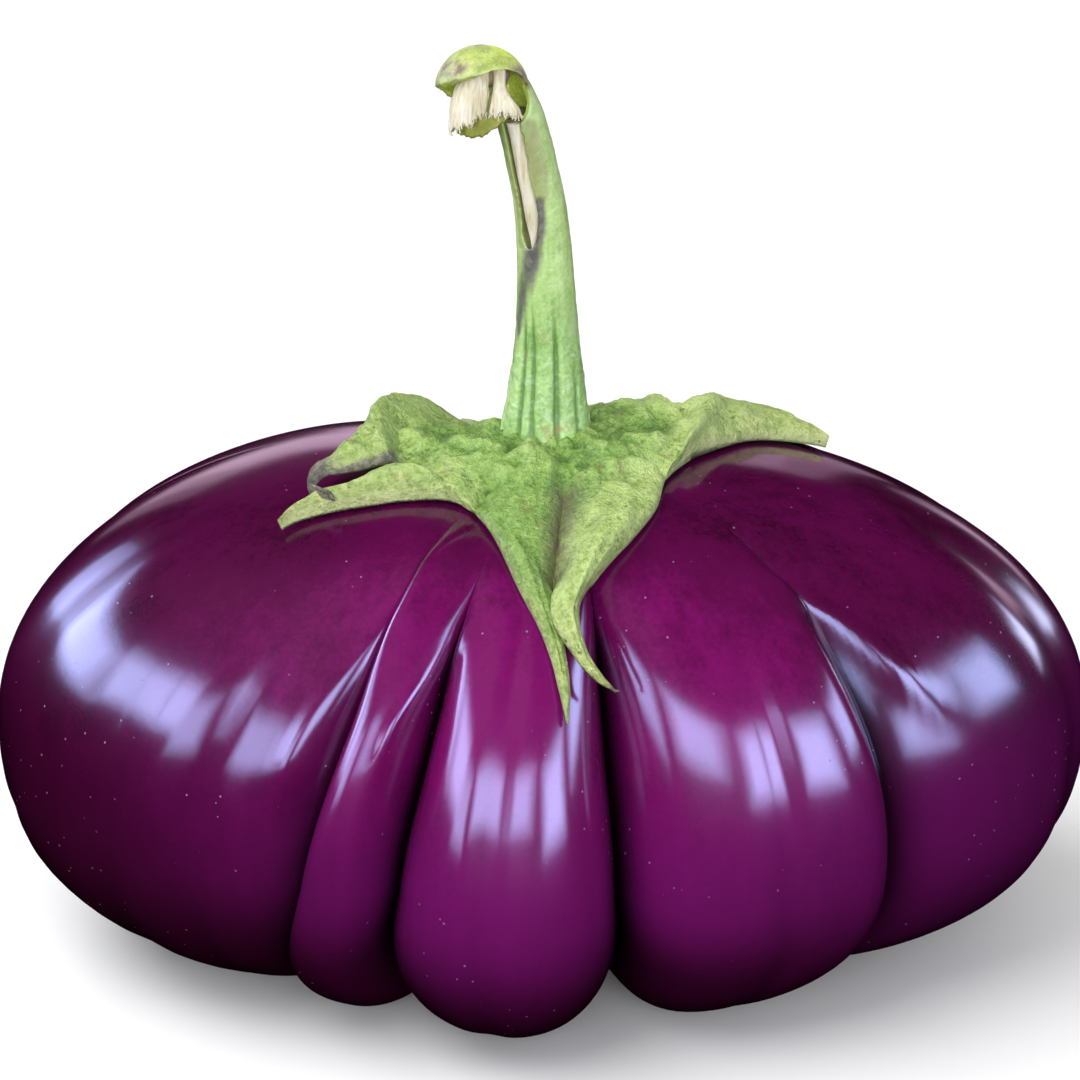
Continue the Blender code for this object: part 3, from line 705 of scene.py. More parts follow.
def calyx_surfaces(pattern, lift, across, run, half, grey):
    """Upper and lower points of a sepal, how near its rim and margin lie, and its lumps in mm."""
    azimuth = np.arctan2(pattern[..., 0], -pattern[..., 1])
    radius = np.hypot(pattern[..., 0], pattern[..., 1])
    latitude = np.radians(radius)
    run = run[:, None]
    free = smooth(run, *FREE_START)
    inward = (1 - np.abs(across)) * half[:, None]
    inward = np.minimum(inward, (2 - run) * TIP_REACH + 0.02)
    crown = np.sqrt(1 - (1 - np.clip(inward / EDGE_ROUNDING, 0, 1)) ** 2)
    thickness = BLADE_THICKNESS * (1 - free * (1 - EDGE_SHARE) * (1 - crown)) * (1 - WITHERED_THINNING * grey)
    dip = RING_DIP * np.maximum(np.cos(azimuth - math.radians(RING_DIP_AZIMUTH)), 0) ** 2
    ring = RING_RISE * (1 - dip) * np.exp(-(((radius - RING_RADIUS) / RING_REACH) ** 2))
    along = smooth(radius, RING_RADIUS, 2 * RING_RADIUS) * (1 - smooth(radius, *RIDGE_FADE))
    relief = RIDGE_RISE * (1 - dip) * (1 - across ** 2) * along
    near = np.exp(-(((radius - RING_RADIUS) / LUMPS_REACH) ** 2))
    lumps = np.zeros_like(radius)
    for number, (size, middle, outer) in enumerate(LUMPS):
        height = outer + (middle - outer) * near * (1 - dip)
        lumps = lumps + height * random_lumps(pattern, size, 3.7 * number)
    for place, away, size, height in KNOBS:
        distance = np.linalg.norm(pattern - plane_point(place, away), axis=-1)
        lumps = lumps + height * np.exp(-((distance / size) ** 2))
    relief = relief + lumps * (1 - free * (1 - crown))
    for place, width, height in VEINS:
        shown = smooth(run, *VEINS_START) * (1 - smooth(run, *VEINS_END))
        relief = relief + height * shown * np.exp(-(((across - place) / width) ** 2))
    furrow = smooth(run, *FURROW_START) * (1 - smooth(run, *FURROW_END))
    relief = relief - FURROW * furrow * np.abs(across) ** FURROW_POWER
    lower = skin_base(azimuth, latitude) + CALYX_GAP + lift
    upper = lower + thickness + ring + relief
    rim = free * np.exp(-((inward / RIM_WIDTH) ** 2))
    margin = free * np.exp(-((inward / MARGIN_WIDTH) ** 2))
    upper, lower = raised(azimuth, latitude, upper), raised(azimuth, latitude, lower)
    return upper, lower, rim, margin, lumps / MM


def stain(pattern):
    """1 in the stained fold, fading to 0 beside it."""
    start, end = plane_point(*STAIN_START), plane_point(*STAIN_END)
    way = end - start
    share = np.clip(((pattern - start) @ way) / (way @ way), 0, 1)
    distance = np.linalg.norm(pattern - start - share[..., None] * way, axis=-1)
    return np.exp(-((distance / STAIN_WIDTH) ** 2))


class Weld:
    """Collects vertices and their marks, giving one number to points that meet on a seam."""

    def __init__(self):
        self.points = []
        self.marks = []
        self.number = {}

    def add(self, point, mark):
        key = tuple(np.round(np.asarray(point) / WELD_SIZE).astype(int))
        if key not in self.number:
            self.number[key] = len(self.points)
            self.points.append(point)
            self.marks.append(mark)
        return self.number[key]


def grid_faces(numbers, facing_up):
    """Faces over a grid of vertex numbers, rows running outwards, columns from left to right."""
    found = []
    for near_row, far_row in zip(numbers, numbers[1:]):
        for c in range(len(near_row) - 1):
            face = (near_row[c], far_row[c], far_row[c + 1], near_row[c + 1])
            kept = tuple(dict.fromkeys(face if facing_up else face[::-1]))
            if len(kept) > 2:
                found.append(kept)
    return found


def rim_faces(top, bottom):
    """The wall round the edge of one sepal, past the notches."""
    last = len(top[0]) - 1
    path = [(r, 0) for r in range(CENTRE_ROWS, len(top))]
    path += [(len(top) - 1, c) for c in range(1, last)]
    path += [(r, last) for r in range(len(top) - 1, CENTRE_ROWS - 1, -1)]
    return [(top[r][c], bottom[r][c], bottom[s][d], top[s][d]) for (r, c), (s, d) in zip(path, path[1:])]


def collar(weld, ring_upper, plain):
    """Rows from the ring down to the stem's foot, closed below by the floor that it stands on."""
    outer = np.array([weld.points[i] for i in ring_upper])
    around = np.arctan2(outer[:, 0] - FOOT_CENTRE, -outer[:, 1])
    plan = toward(around) * FOOT_RADIUS
    foot = np.column_stack([plan[:, 0] + FOOT_CENTRE, plan[:, 1], np.full(len(plan), FOOT_HEIGHT)])
    rows = [list(ring_upper)]
    for k in range(1, COLLAR_ROWS + 1):
        share = k / COLLAR_ROWS
        row = outer * (1 - share) + foot * share
        lumps = sum(height * random_lumps(row / MM, size, seed) for size, height, seed in COLLAR_LUMPS)
        row[:, 2] += (lumps - COLLAR_SINK) * smooth(share, 0, 0.4)
        rows.append([weld.add(point, plain[:-2] + (lump / MM, 0.0)) for point, lump in zip(row, lumps)])
    deep = foot.copy()
    deep[:, 2] = FOOT_FLOOR
    rows.append([weld.add(point, plain) for point in deep])
    faces = []
    count = len(ring_upper)
    for outside, inside in zip(rows, rows[1:]):
        for i in range(count):
            j = (i + 1) % count
            faces.append((outside[i], outside[j], inside[j], inside[i]))
    centre = weld.add(np.array([FOOT_CENTRE, 0, FOOT_FLOOR]), plain)
    faces += [(centre, rows[-1][i], rows[-1][(i + 1) % count]) for i in range(count)]
    return faces


CALYX_MARKS = ("rim", "margin", "withered", "stain", "tipward", "underside", "lump", "pale")
# How pale the body of each sepal is, partly its own tone and partly painted light on the sepals that face up
PALENESS_AND_PAINTED_LIGHT = (0.45, 0.55, 0.0, 0.70, 0.75, 0.40, 0.40)


def make_calyx():
    """The seven sepals, the collar up to the stem's foot and the closed underside, welded as one."""
    across = np.sin(math.pi / 2 * np.linspace(-1, 1, BLADE_COLUMNS + 1))
    weld = Weld()
    plain = (0.0,) * len(CALYX_MARKS)
    faces = []
    ring_upper, ring_lower = [], []
    for number in range(len(SEPALS)):
        pattern, lift, run, half = sepal_pattern(number, across)
        grey = smooth(run, *WITHERED[number]) if number in WITHERED else np.zeros(len(run))
        grey = np.broadcast_to(grey[:, None], lift.shape)
        upper, lower, rim, margin, lump = calyx_surfaces(pattern, lift, across, run, half, grey)
        if number == FOLDED:
            grey = np.maximum(grey, smooth(across, 0.80, 0.98) * smooth(run, 0.8, 1.1)[:, None])
        tipward = np.broadcast_to(smooth(run, 1.1, 1.9)[:, None], lift.shape)
        pale = np.broadcast_to(PALENESS_AND_PAINTED_LIGHT[number] * smooth(run, 0.25, 0.95)[:, None], lift.shape)
        marks = np.stack([rim, margin, grey, stain(pattern), tipward, np.zeros_like(rim), lump, pale], -1)
        under = marks * (1, 1, 1, 1, 1, 0, 0, 0) + (0, 0, 0, 0, 0, 1, 0, 0)
        top = [[weld.add(p, m) for p, m in zip(*row)] for row in zip(upper, marks)]
        bottom = [[weld.add(p, m) for p, m in zip(*row)] for row in zip(lower, under)]
        faces += grid_faces(top, True) + grid_faces(bottom, False) + rim_faces(top, bottom)
        ring_upper += top[0][:-1]
        ring_lower += bottom[0][:-1]
    faces += collar(weld, ring_upper, plain)
    low = raised(np.zeros(1), np.zeros(1), np.array([CALYX_GAP]))[0]
    centre = weld.add(low, plain)
    count = len(ring_lower)
    faces += [(centre, ring_lower[(i + 1) % count], ring_lower[i]) for i in range(count)]
    calyx = add_piece("calyx_star", weld.points, faces)
    for column, name in enumerate(CALYX_MARKS):
        add_attribute(calyx, name, np.array(weld.marks, float)[:, column])
    return calyx


def calyx_material():
    """Rough leathery green, yellower towards the tips, pale along its edges, specked with brown, with painted
    shade in its hollows and painted light on its upturned sepals.
    """
    material, place, attribute, feed = new_material("calyx", Specular_IOR_Level=0.3)
    rim, margin, tipward = attribute("rim"), attribute("margin"), attribute("tipward")
    withered, stained, underside = attribute("withered"), attribute("stain"), attribute("underside")
    lump = attribute("lump")
    clouds = place.noise(170, 3, 0.6)
    pebbles = place.noise(900, 3, 0.65, shift=(0.3, 0.1, 0))
    grain = place.noise(2600, 2, 0.6)
    wrinkles = place.noise(1500, 3, 0.7, shift=(0, 0.2, 0.5))
    tone = clouds * 0.24 + pebbles * 0.26 + wrinkles * 0.30 + grain * 0.20 + lump * 0.09
    body = tone.steps(0.36, 0.52).mixed(colour(0.090, 0.185, 0.030), colour(0.190, 0.330, 0.055))
    body = tone.steps(0.48, 0.66).mixed(body, colour(0.360, 0.500, 0.140))
    light = tone.steps(0.36, 0.62).mixed(colour(0.300, 0.410, 0.090), colour(0.560, 0.680, 0.250))
    # Paler on some sepals: partly their own tone and partly painted light on those that face up.
    body = attribute("pale").mixed(body, light)
    # Painted shade: darker green in the hollows between the lumps and wrinkles.
    painted_hollow_shade = (1 - tipward) * wrinkles.steps(0.50, 0.36) * lump.steps(0.3, -0.5)
    body = (painted_hollow_shade * 0.6).mixed(body, colour(0.050, 0.110, 0.020))
    yellow = pebbles.steps(0.40, 0.62).mixed(colour(0.270, 0.340, 0.070), colour(0.500, 0.560, 0.220))
    body = (tipward * 0.45 + margin * 0.50 * clouds.steps(0.35, 0.60)).mixed(body, yellow)
    body = (rim * 0.45).mixed(body, colour(0.480, 0.500, 0.250))
    specks = place.dots(620, 0.17) * place.noise(110, 2, 0.5, shift=(2, 0, 0)).steps(0.46, 0.58)
    body = (specks * 0.75).mixed(body, colour(0.085, 0.055, 0.020))
    blotches = place.noise(260, 4, 0.7, shift=(0, 4, 1)).steps(0.58, 0.70)
    body = (blotches * 0.55).mixed(body, colour(0.220, 0.165, 0.055))
    body = (stained * (0.45 + pebbles.steps(0.35, 0.60) * 0.50)).mixed(body, colour(0.140, 0.115, 0.065))
    dry = pebbles.steps(0.35, 0.65).mixed(colour(0.075, 0.060, 0.050), colour(0.230, 0.200, 0.165))
    body = (withered * 0.9).mixed(body, dry)
    body = (underside * 0.5).mixed(body, colour(0.170, 0.220, 0.070))
    feed("Base Color", body)
    feed("Roughness", pebbles.steps(0.3, 0.7, 0.50, 0.75))
    relief = pebbles * 0.45 + wrinkles * 0.40 + grain * 0.15
    feed("Normal", relief.bump(0.0013, 0.90))
    return material


calyx = make_calyx()
calyx.data.materials.append(calyx_material())
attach(calyx, "root")
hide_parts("calyx")

# Stem. A green stalk grown from the calyx, fluted at its foot. Its top was torn off: the bark is left
# there as a thin hood, hollow and open to the front, and a strip of bark came off down its front left.
# Places are in millimetres. Stations up the centre line are x, y, height and radius.
STEM_STATIONS = (
    (0.8, 0.0, 73.5, 6.4),
    (0.85, 0.0, 75.8, 6.25),
    (0.9, 0.0, 79.3, 5.7),
    (1.0, 0.0, 83.8, 5.05),
    (1.0, 0.0, 88.3, 4.5),
    (0.9, 0.0, 92.8, 4.15),
    (0.65, 0.0, 100.3, 3.8),
    (0.0, 0.0, 107.5, 3.6),
    (-1.0, -0.2, 112.9, 3.5),
    (-2.15, -0.5, 118.1, 3.45),
    (-3.4, -0.9, 122.3, 3.4),
    (-4.6, -1.4, 125.5, 3.1),
)
STEM_SIDES = 96
STEM_RINGS = 150
# Valleys between the flutes: azimuth at the foot and at the upper end, height of that end, depth
VALLEYS = (
    (-40, -51, 98, 0.70),
    (-19, -32, 99, 0.70),
    (14.6, 17, 96, 0.85),
    (49, 52, 87, 0.50),
    (88, 90, 91, 0.50),
    (126, 124, 92, 0.45),
    (163, 160, 90, 0.50),
    (-158, -160, 93, 0.45),
    (-118, -120, 91, 0.50),
    (-77, -84, 92, 0.40),
)
VALLEY_WIDTH = 5.0
VALLEY_FOOT = 74
VALLEY_FADE = (0.55, 1.0)
HOOD_CENTRE = (-7.8, -2.6, 124.7)
HOOD_RADII = (6.3, 5.6, 6.0)
HOOD_WALL = 0.85
HOOD_RIM_POINT = (-7.0, -7.5, 128.3)
HOOD_FACING = (-0.10, -0.62, -0.78)
# How far the rim hangs below its plane, by the angle from the front round to the right
RIM_HANG = (
    (-180, 0.0),
    (-110, -0.3),
    (-85, 0.2),
    (-60, 1.2),
    (-35, 0.9),
    (0, 0.3),
    (40, -0.5),
    (90, -0.6),
    (180, 0.0),
)
# How ragged the rim is: size, height and seed of its tears on a circle of this radius
RIM_TEARS = ((2.2, 0.35, 1.0), (0.8, 0.22, 5.0))
RIM_TEARS_RADIUS = 9
# The furthest that the hood reaches down from its crown, in radians
HOOD_SPAN = 2.4
HOOD_ROWS = 44
HOOD_SIDES = 150
# The mouth is torn into the front of the stem's upper end, which is a hollow pipe there
MOUTH_CENTRE = (-5.5, -6.5, 123.6)
MOUTH_RADII = (5.2, 5.4, 4.8)
PIPE_FROM = 0.86
PIPE_WALL = 0.95
# Peeled strip: height and azimuth of its middle from its lower end upwards
PEEL_PATH = ((100.6, -33), (104, -30), (107, -28), (112.4, -29), (118.7, -23), (123.5, -20))
PEEL_RADIUS = 1.35
PEEL_INSET = 0.75
PEEL_END_INSET = 0.9
# Share of the path over which it widens from its pointed lower end, and its width at that end
PEEL_POINT = 0.22
PEEL_POINT_SIZE = 0.15
# The stem is made of one skin with cells of this size, then lumps are raised on it: size and height
VOXEL = 0.19
STEM_LUMPS = ((2.6, 0.10), (1.1, 0.07), (0.5, 0.035))
# Marks on the bark as places and sizes: the grey stain beside the peeled strip and under it, the olive
# painted shade right and left of the strip, and the brown scars at the hood's tip and its right rim
STAIN_SPOTS = (
    (-0.1, -3.7, 109.0, 1.0),
    (-0.1, -3.7, 107.2, 1.3),
    (-0.2, -3.7, 105.2, 1.5),
    (-0.6, -3.6, 103.2, 1.6),
    (-1.1, -3.5, 101.2, 1.7),
    (-1.8, -3.3, 99.2, 1.9),
    (-2.5, -2.9, 97.2, 1.8),
    (-2.9, -2.5, 95.0, 1.6),
    (-3.2, -2.3, 92.6, 1.4),
    (-3.4, -2.2, 90.2, 1.0),
)
OLIVE_SHADE_SPOTS = (
    (-1.5, -3.9, 119.5, 1.3),
    (-0.9, -3.8, 116.5, 1.6),
    (0.0, -3.8, 113.5, 1.4),
    (0.1, -3.8, 110.0, 1.1),
)
LEFT_EDGE_SHADE_SPOTS = (
    (-5.4, -2.7, 120.0, 1.1),
    (-4.6, -2.6, 116.0, 1.1),
    (-3.9, -2.6, 112.0, 0.9),
    (-3.0, -2.6, 107.0, 0.9),
    (-2.8, -2.6, 103.0, 1.0),
)
TIP_SCARS = (
    (-13.2, -4.8, 128.4, 1.4),
    (-12.0, -6.0, 129.0, 1.6),
    (-10.4, -6.8, 129.8, 1.2),
)
RIM_SCARS = (
    (-3.4, -5.8, 130.0, 0.9),
    (-2.5, -5.2, 128.8, 1.1),
    (-2.1, -4.6, 127.2, 1.2),
    (-2.0, -4.3, 125.4, 1.1),
    (-2.4, -4.4, 124.0, 0.9),
)
BLOTS_PER_SPOT = 6
# Heights between which the lumps fade from the foot up
LUMPY_FOOT = (78, 96)


def stem_station(t):
    """Centres and radii at shares of the way up the stem."""
    stations = np.array(STEM_STATIONS, float)
    values = spline(stations, np.atleast_1d(t) * (len(stations) - 1))
    return values[:, :3], values[:, 3]


def stem_at(heights):
    """Centres and radii at heights."""
    shares = np.linspace(0, 1, len(STEM_STATIONS))
    return stem_station(np.interp(heights, [station[2] for station in STEM_STATIONS], shares))


def swept(name, centres, sections):
    """Closed piece through level sections, lowest first, all in millimetres."""
    sides = len(sections[0])
    points = [centre + corner for centre, section in zip(centres, sections) for corner in section]
    points = np.array(points + [centres[0], centres[-1]]) * MM
    faces = []
    for row in range(len(centres) - 1):
        faces += ring_band(row * sides, (row + 1) * sides, sides)
    faces += fan(len(points) - 2, 0, sides, False)
    faces += fan(len(points) - 1, (len(centres) - 1) * sides, sides, True)
    return add_piece(name, points, faces)


def level_section(radii, sides):
    """Level outline with the given radius at each of its corners."""
    around = np.linspace(0, 2 * math.pi, sides, endpoint=False)
    return np.column_stack([toward(around) * np.broadcast_to(radii, sides)[:, None], np.zeros(sides)])


def valley_depths(azimuth, height):
    """Depth of the valleys between the flutes, at azimuths in degrees and heights."""
    found = np.zeros_like(azimuth)
    for foot, end, top, depth in VALLEYS:
        rise = (height - VALLEY_FOOT) / (top - VALLEY_FOOT)
        away = (azimuth - foot - (end - foot) * np.clip(rise, 0, 1) + 180) % 360 - 180
        shown = 1 - smooth(rise, *VALLEY_FADE)
        found = found + depth * shown * np.exp(-((away / VALLEY_WIDTH) ** 2))
    return found


BALL_RINGS = 24
BALL_SIDES = 48


def ball(name, centre, radii):
    """Closed ellipsoid."""
    angles = np.linspace(-math.pi / 2, math.pi / 2, BALL_RINGS + 2)[1:-1]
    rows = [np.array(centre) + (0, 0, radii[2] * math.sin(a)) for a in angles]
    outline = level_section(1, BALL_SIDES) * (radii[0], radii[1], 0)
    piece = swept(name, rows, [outline * math.cos(a) for a in angles])
    piece.data.vertices[-2].co = Vector(centre) * MM - Vector((0, 0, radii[2] * MM))
    piece.data.vertices[-1].co = Vector(centre) * MM + Vector((0, 0, radii[2] * MM))
    return piece


def combine(piece, other, operation):
    """Joins or cuts one piece with another and drops the other."""
    modifier = piece.modifiers.new("combine", "BOOLEAN")
    modifier.operation = operation
    modifier.solver = "EXACT"
    modifier.object = other
    apply_modifiers(piece)
    bpy.data.objects.remove(other)


def apply_modifiers(piece):
    """Turns what the modifiers make into the piece's own plain mesh."""
    graph = bpy.context.evaluated_depsgraph_get()
    mesh = bpy.data.meshes.new_from_object(piece.evaluated_get(graph))
    piece.modifiers.clear()
    piece.data = mesh
    mesh.name = piece.name


def hood_layer(radii, angles, rim):
    """Rows of points over one side of the hood, from its crown to its rim."""
    crown = -np.array(HOOD_FACING) / np.linalg.norm(HOOD_FACING)
    front = np.cross(crown, (1, 0, 0))
    front /= np.linalg.norm(front)
    front = front if front[1] < 0 else -front
    right = np.cross(crown, front)
    right = right if right[0] > 0 else -right
    around = np.cos(angles)[:, None] * front + np.sin(angles)[:, None] * right
    rows = []
    for share in np.linspace(0, 1, HOOD_ROWS + 1)[1:]:
        lean = rim * share
        rows.append(np.cos(lean)[:, None] * crown + np.sin(lean)[:, None] * around)
    return np.array(HOOD_CENTRE) + np.array(rows) * radii, np.array(HOOD_CENTRE) + crown * radii


def rim_leans(radii, angles, hang):
    """Angle from the hood's crown down to its rim, in each direction round it."""
    facing = np.array(HOOD_FACING) / np.linalg.norm(HOOD_FACING)
    full, _ = hood_layer(radii, angles, np.full(len(angles), HOOD_SPAN))
    depth = (full - HOOD_RIM_POINT) @ facing
    leans = np.linspace(0, HOOD_SPAN, HOOD_ROWS + 1)[1:]
    return np.array([np.interp(hang[i], depth[:, i], leans) for i in range(len(angles))])


def make_hood():
    """Dome of bark with a ragged rim."""
    angles = np.linspace(-math.pi, math.pi, HOOD_SIDES, endpoint=False)
    hang = np.interp(np.degrees(angles), [a for a, _ in RIM_HANG], [h for _, h in RIM_HANG])
    ragged = toward(angles) * RIM_TEARS_RADIUS
    for size, height, seed in RIM_TEARS:
        hang = hang + height * random_lumps(ragged, size, seed)
    outer_radii = np.array(HOOD_RADII)
    outer, outer_crown = hood_layer(outer_radii, angles, rim_leans(outer_radii, angles, hang))
    inner_radii = outer_radii - HOOD_WALL
    inner, inner_crown = hood_layer(inner_radii, angles, rim_leans(inner_radii, angles, hang + 0.1))
    crowns = [outer_crown, inner_crown]
    points = np.concatenate([outer.reshape(-1, 3), inner.reshape(-1, 3), crowns]) * MM
    start = HOOD_ROWS * HOOD_SIDES
    faces = []
    for row in range(HOOD_ROWS - 1):
        faces += ring_band((row + 1) * HOOD_SIDES, row * HOOD_SIDES, HOOD_SIDES)
        faces += ring_band(start + row * HOOD_SIDES, start + (row + 1) * HOOD_SIDES, HOOD_SIDES)
    faces += ring_band(2 * start - HOOD_SIDES, start - HOOD_SIDES, HOOD_SIDES)
    faces += fan(2 * start, 0, HOOD_SIDES, True)
    faces += fan(2 * start + 1, start, HOOD_SIDES, False)
    return add_piece("hood", points, faces)


def peel_path(radius, inset, shares):
    """Centre line and sections along the peeled strip, pointed at its lower end."""
    path = np.array(PEEL_PATH, float)
    t = shares * (len(path) - 1)
    heights, azimuths = spline(path, t).T
    centres, radii = stem_at(heights)
    grown = smooth(shares, 0, PEEL_POINT)
    deep = PEEL_END_INSET * (1 - grown) + inset * grown
    outward = np.column_stack([toward(np.radians(azimuths)), np.zeros(len(t))])
    sizes = radius * (PEEL_POINT_SIZE + (1 - PEEL_POINT_SIZE) * grown)
    return centres + outward * (radii - deep)[:, None], [level_section(size, 20) for size in sizes]


def blotted(points, spots):
    """How much each point lies along marks given as places and sizes, joined in their order."""
    found = np.zeros(len(points))
    spots = np.array(spots)
    for start, end in zip(spots, spots[1:]):
        for share in np.linspace(0, 1, BLOTS_PER_SPOT):
            x, y, z, size = start * (1 - share) + end * share
            away = np.linalg.norm(points - (x, y, z), axis=1) / size
            found = np.maximum(found, np.exp(-(away ** 2)))
    return found


def raise_lumps(stem):
    """Raises the lumps of the bark and returns where its vertices were."""
    count = len(stem.data.vertices)
    points, normals = np.empty(count * 3), np.empty(count * 3)
    stem.data.vertices.foreach_get("co", points)
    stem.data.vertices.foreach_get("normal", normals)
    points, normals = points.reshape(-1, 3) / MM, normals.reshape(-1, 3)
    push = np.zeros(count)
    for number, (size, height) in enumerate(STEM_LUMPS):
        push += height * random_lumps(points, size, 4.1 * number)
    push *= 0.55 + 0.9 * (1 - smooth(points[:, 2], *LUMPY_FOOT))
    stem.data.vertices.foreach_set("co", ((points + normals * push[:, None]) * MM).ravel())
    return points


def mark_stem(stem, points):
    """Marks the inside of hood and pipe, the walls of the peeled channel, the valleys and the spots."""
    x, y, z = points.T
    reach = np.linalg.norm((points - HOOD_CENTRE) / (np.array(HOOD_RADII) - HOOD_WALL), axis=1)
    centres, radii = stem_at(z)
    away = np.hypot(*(points - centres)[:, :2].T)
    cavity = (1 - smooth(reach, 1.03, 1.09)) * smooth(z, 118, 120)
    piped = (1 - smooth(away, radii - 0.8, radii - 0.35)) * smooth(z, 119, 121)
    channel = (1 - smooth(away, radii - 0.7, radii - 0.15)) * smooth(z, 98, 100)
    turns = np.degrees(np.arctan2(x - centres[:, 0], centres[:, 1] - y))
    add_attribute(stem, "inside", np.maximum(cavity, piped * (x > -7)))
    add_attribute(stem, "channel", channel * (z < 121))
    add_attribute(stem, "valley", valley_depths(turns, z))
    add_attribute(stem, "stain", blotted(points, STAIN_SPOTS))
    add_attribute(stem, "olive_shade", np.maximum(blotted(points, OLIVE_SHADE_SPOTS), blotted(points, LEFT_EDGE_SHADE_SPOTS)))
    add_attribute(stem, "scar", np.maximum(blotted(points, TIP_SCARS), blotted(points, RIM_SCARS)))


def make_stem():
    """Fluted stalk with its hood, hollowed, opened at the mouth, peeled, and made one lumpy skin."""
    centres, radii = stem_station(np.linspace(0, 1, STEM_RINGS))
    turns = np.linspace(0, 360, STEM_SIDES, endpoint=False)
    sections = [level_section(r - valley_depths(turns, c[2]), STEM_SIDES) for c, r in zip(centres, radii)]
    stem = swept("stem_bark", centres, sections)
    combine(stem, make_hood(), "UNION")
    inner = np.array(HOOD_RADII) - HOOD_WALL
    combine(stem, ball("hollow", HOOD_CENTRE, inner), "DIFFERENCE")
    centres, radii = stem_station(np.linspace(PIPE_FROM, 1, 12))
    pipe = swept("pipe", centres, [level_section(r - PIPE_WALL, 40) for r in radii])
    combine(stem, pipe, "DIFFERENCE")
    combine(stem, ball("mouth", MOUTH_CENTRE, MOUTH_RADII), "DIFFERENCE")
    shares = np.linspace(0, 1, 40)
    combine(stem, swept("peel", *peel_path(PEEL_RADIUS, PEEL_INSET, shares)), "DIFFERENCE")
    remesh = stem.modifiers.new("remesh", "REMESH")
    remesh.mode = "VOXEL"
    remesh.voxel_size = VOXEL * MM
    smoothing = stem.modifiers.new("smooth", "SMOOTH")
    smoothing.factor = 0.5
    smoothing.iterations = 3
    apply_modifiers(stem)
    stem.data.shade_smooth()
    mark_stem(stem, raise_lumps(stem))
    return stem


def stem_material():
    """Satin light green bark, mottled at its foot, with a grey stain, brown scars, painted shade in its
    valleys and beside the strip, and a vivid inside that is partly painted light.
    """
    material, place, attribute, feed = new_material("stem", Specular_IOR_Level=0.4)
    inside, channel, valley = attribute("inside"), attribute("channel"), attribute("valley")
    stain, olive_shade, scar = attribute("stain"), attribute("olive_shade"), attribute("scar")
    fibres = place.noise(800, 3, 0.6, stretch=(1, 1, 0.10))
    clouds = place.noise(190, 3, 0.6, stretch=(1, 1, 0.5))
    grain = place.noise(2200, 2, 0.6)
    speckle = place.noise(700, 3, 0.65, shift=(2, 2, 2))
    height = place.node("ShaderNodeSeparateXYZ", {}, {"Vector": place}, "Z")
    foot = height.steps(0.082, 0.102, 1.0, 0.0)
    head = height.steps(0.1205, 0.1270)
    tone = clouds * 0.40 + fibres * 0.22 + speckle * 0.24 + grain * 0.14
    middle = height.steps(0.088, 0.108)
    body = tone.steps(0.38, 0.50).mixed(colour(0.210, 0.390, 0.090), colour(0.360, 0.560, 0.160))
    body = tone.steps(0.48, 0.60).mixed(body, colour(0.520, 0.700, 0.300))
    bright = tone.steps(0.38, 0.60).mixed(colour(0.380, 0.570, 0.155), colour(0.630, 0.810, 0.345))
    body = (middle * 0.70).mixed(body, bright)
    body = (foot * speckle.steps(0.42, 0.60) * 0.50).mixed(body, colour(0.160, 0.330, 0.080))
    body = (foot * grain.steps(0.48, 0.70) * 0.30).mixed(body, colour(0.520, 0.680, 0.420))
    # Painted shade: darker green in the valleys between the flutes.
    body = (valley.steps(0.15, 0.60) * 0.75).mixed(body, colour(0.070, 0.165, 0.020))
    acid = speckle.steps(0.30, 0.66).mixed(colour(0.250, 0.310, 0.045), colour(0.480, 0.570, 0.140))
    body = (head * 0.85).mixed(body, acid)
    body = (head * clouds.steps(0.40, 0.66) * 0.60).mixed(body, colour(0.290, 0.290, 0.170))
    body = (head * grain.steps(0.55, 0.70) * 0.50).mixed(body, colour(0.640, 0.700, 0.330))
    flecks = place.noise(420, 3, 0.6, shift=(4, 1, 0)).steps(0.60, 0.70) * foot
    body = (flecks * 0.6).mixed(body, colour(0.300, 0.230, 0.070))
    # The vivid yellow green inside the hood and pipe: partly the tissue's own colour and partly painted light
    # where the hood shades it.
    vivid = grain.steps(0.3, 0.7).mixed(colour(0.480, 0.640, 0.050), colour(0.680, 0.800, 0.150))
    body = inside.mixed(body, vivid)
    body = (channel * 0.85).mixed(body, colour(0.110, 0.085, 0.030))
    # Painted shade in olive beside the peeled strip.
    body = (olive_shade.steps(0.05, 0.60) * clouds.steps(0.25, 0.6) * 0.75).mixed(body, colour(0.240, 0.215, 0.060))
    grey = (stain + (clouds - 0.5) * 1.6 + (speckle - 0.5) * 0.8).steps(0.22, 0.88)
    mould = speckle.steps(0.36, 0.64).mixed(colour(0.058, 0.042, 0.056), colour(0.150, 0.122, 0.108))
    body = (grey * 0.92).mixed(body, mould)
    dried = speckle.steps(0.40, 0.60).mixed(colour(0.170, 0.100, 0.060), colour(0.330, 0.230, 0.160))
    body = (scar.steps(0.08, 0.50) * clouds.steps(0.30, 0.50) * 0.85).mixed(body, dried)
    feed("Base Color", body)
    feed("Roughness", clouds.steps(0.3, 0.7, 0.42, 0.58) + scar * 0.2)
    relief = fibres * 0.4 + speckle * 0.35 + grain * 0.25
    feed("Normal", relief.bump(0.00040, 0.60))
    return material


stem = make_stem()
stem.data.materials.append(stem_material())
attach(stem, "root")
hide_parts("stem")

# Stem wood. The pale wood inside the stalk: a strip in the peeled channel, and two stumps that were
# torn off ragged under the hood, with a shred of green inner bark left hanging behind their ends.
WOOD_RADIUS = 1.12
WOOD_INSET = 1.32
# Share of the peeled path that the strip of wood fills
STRIP_END = 0.84
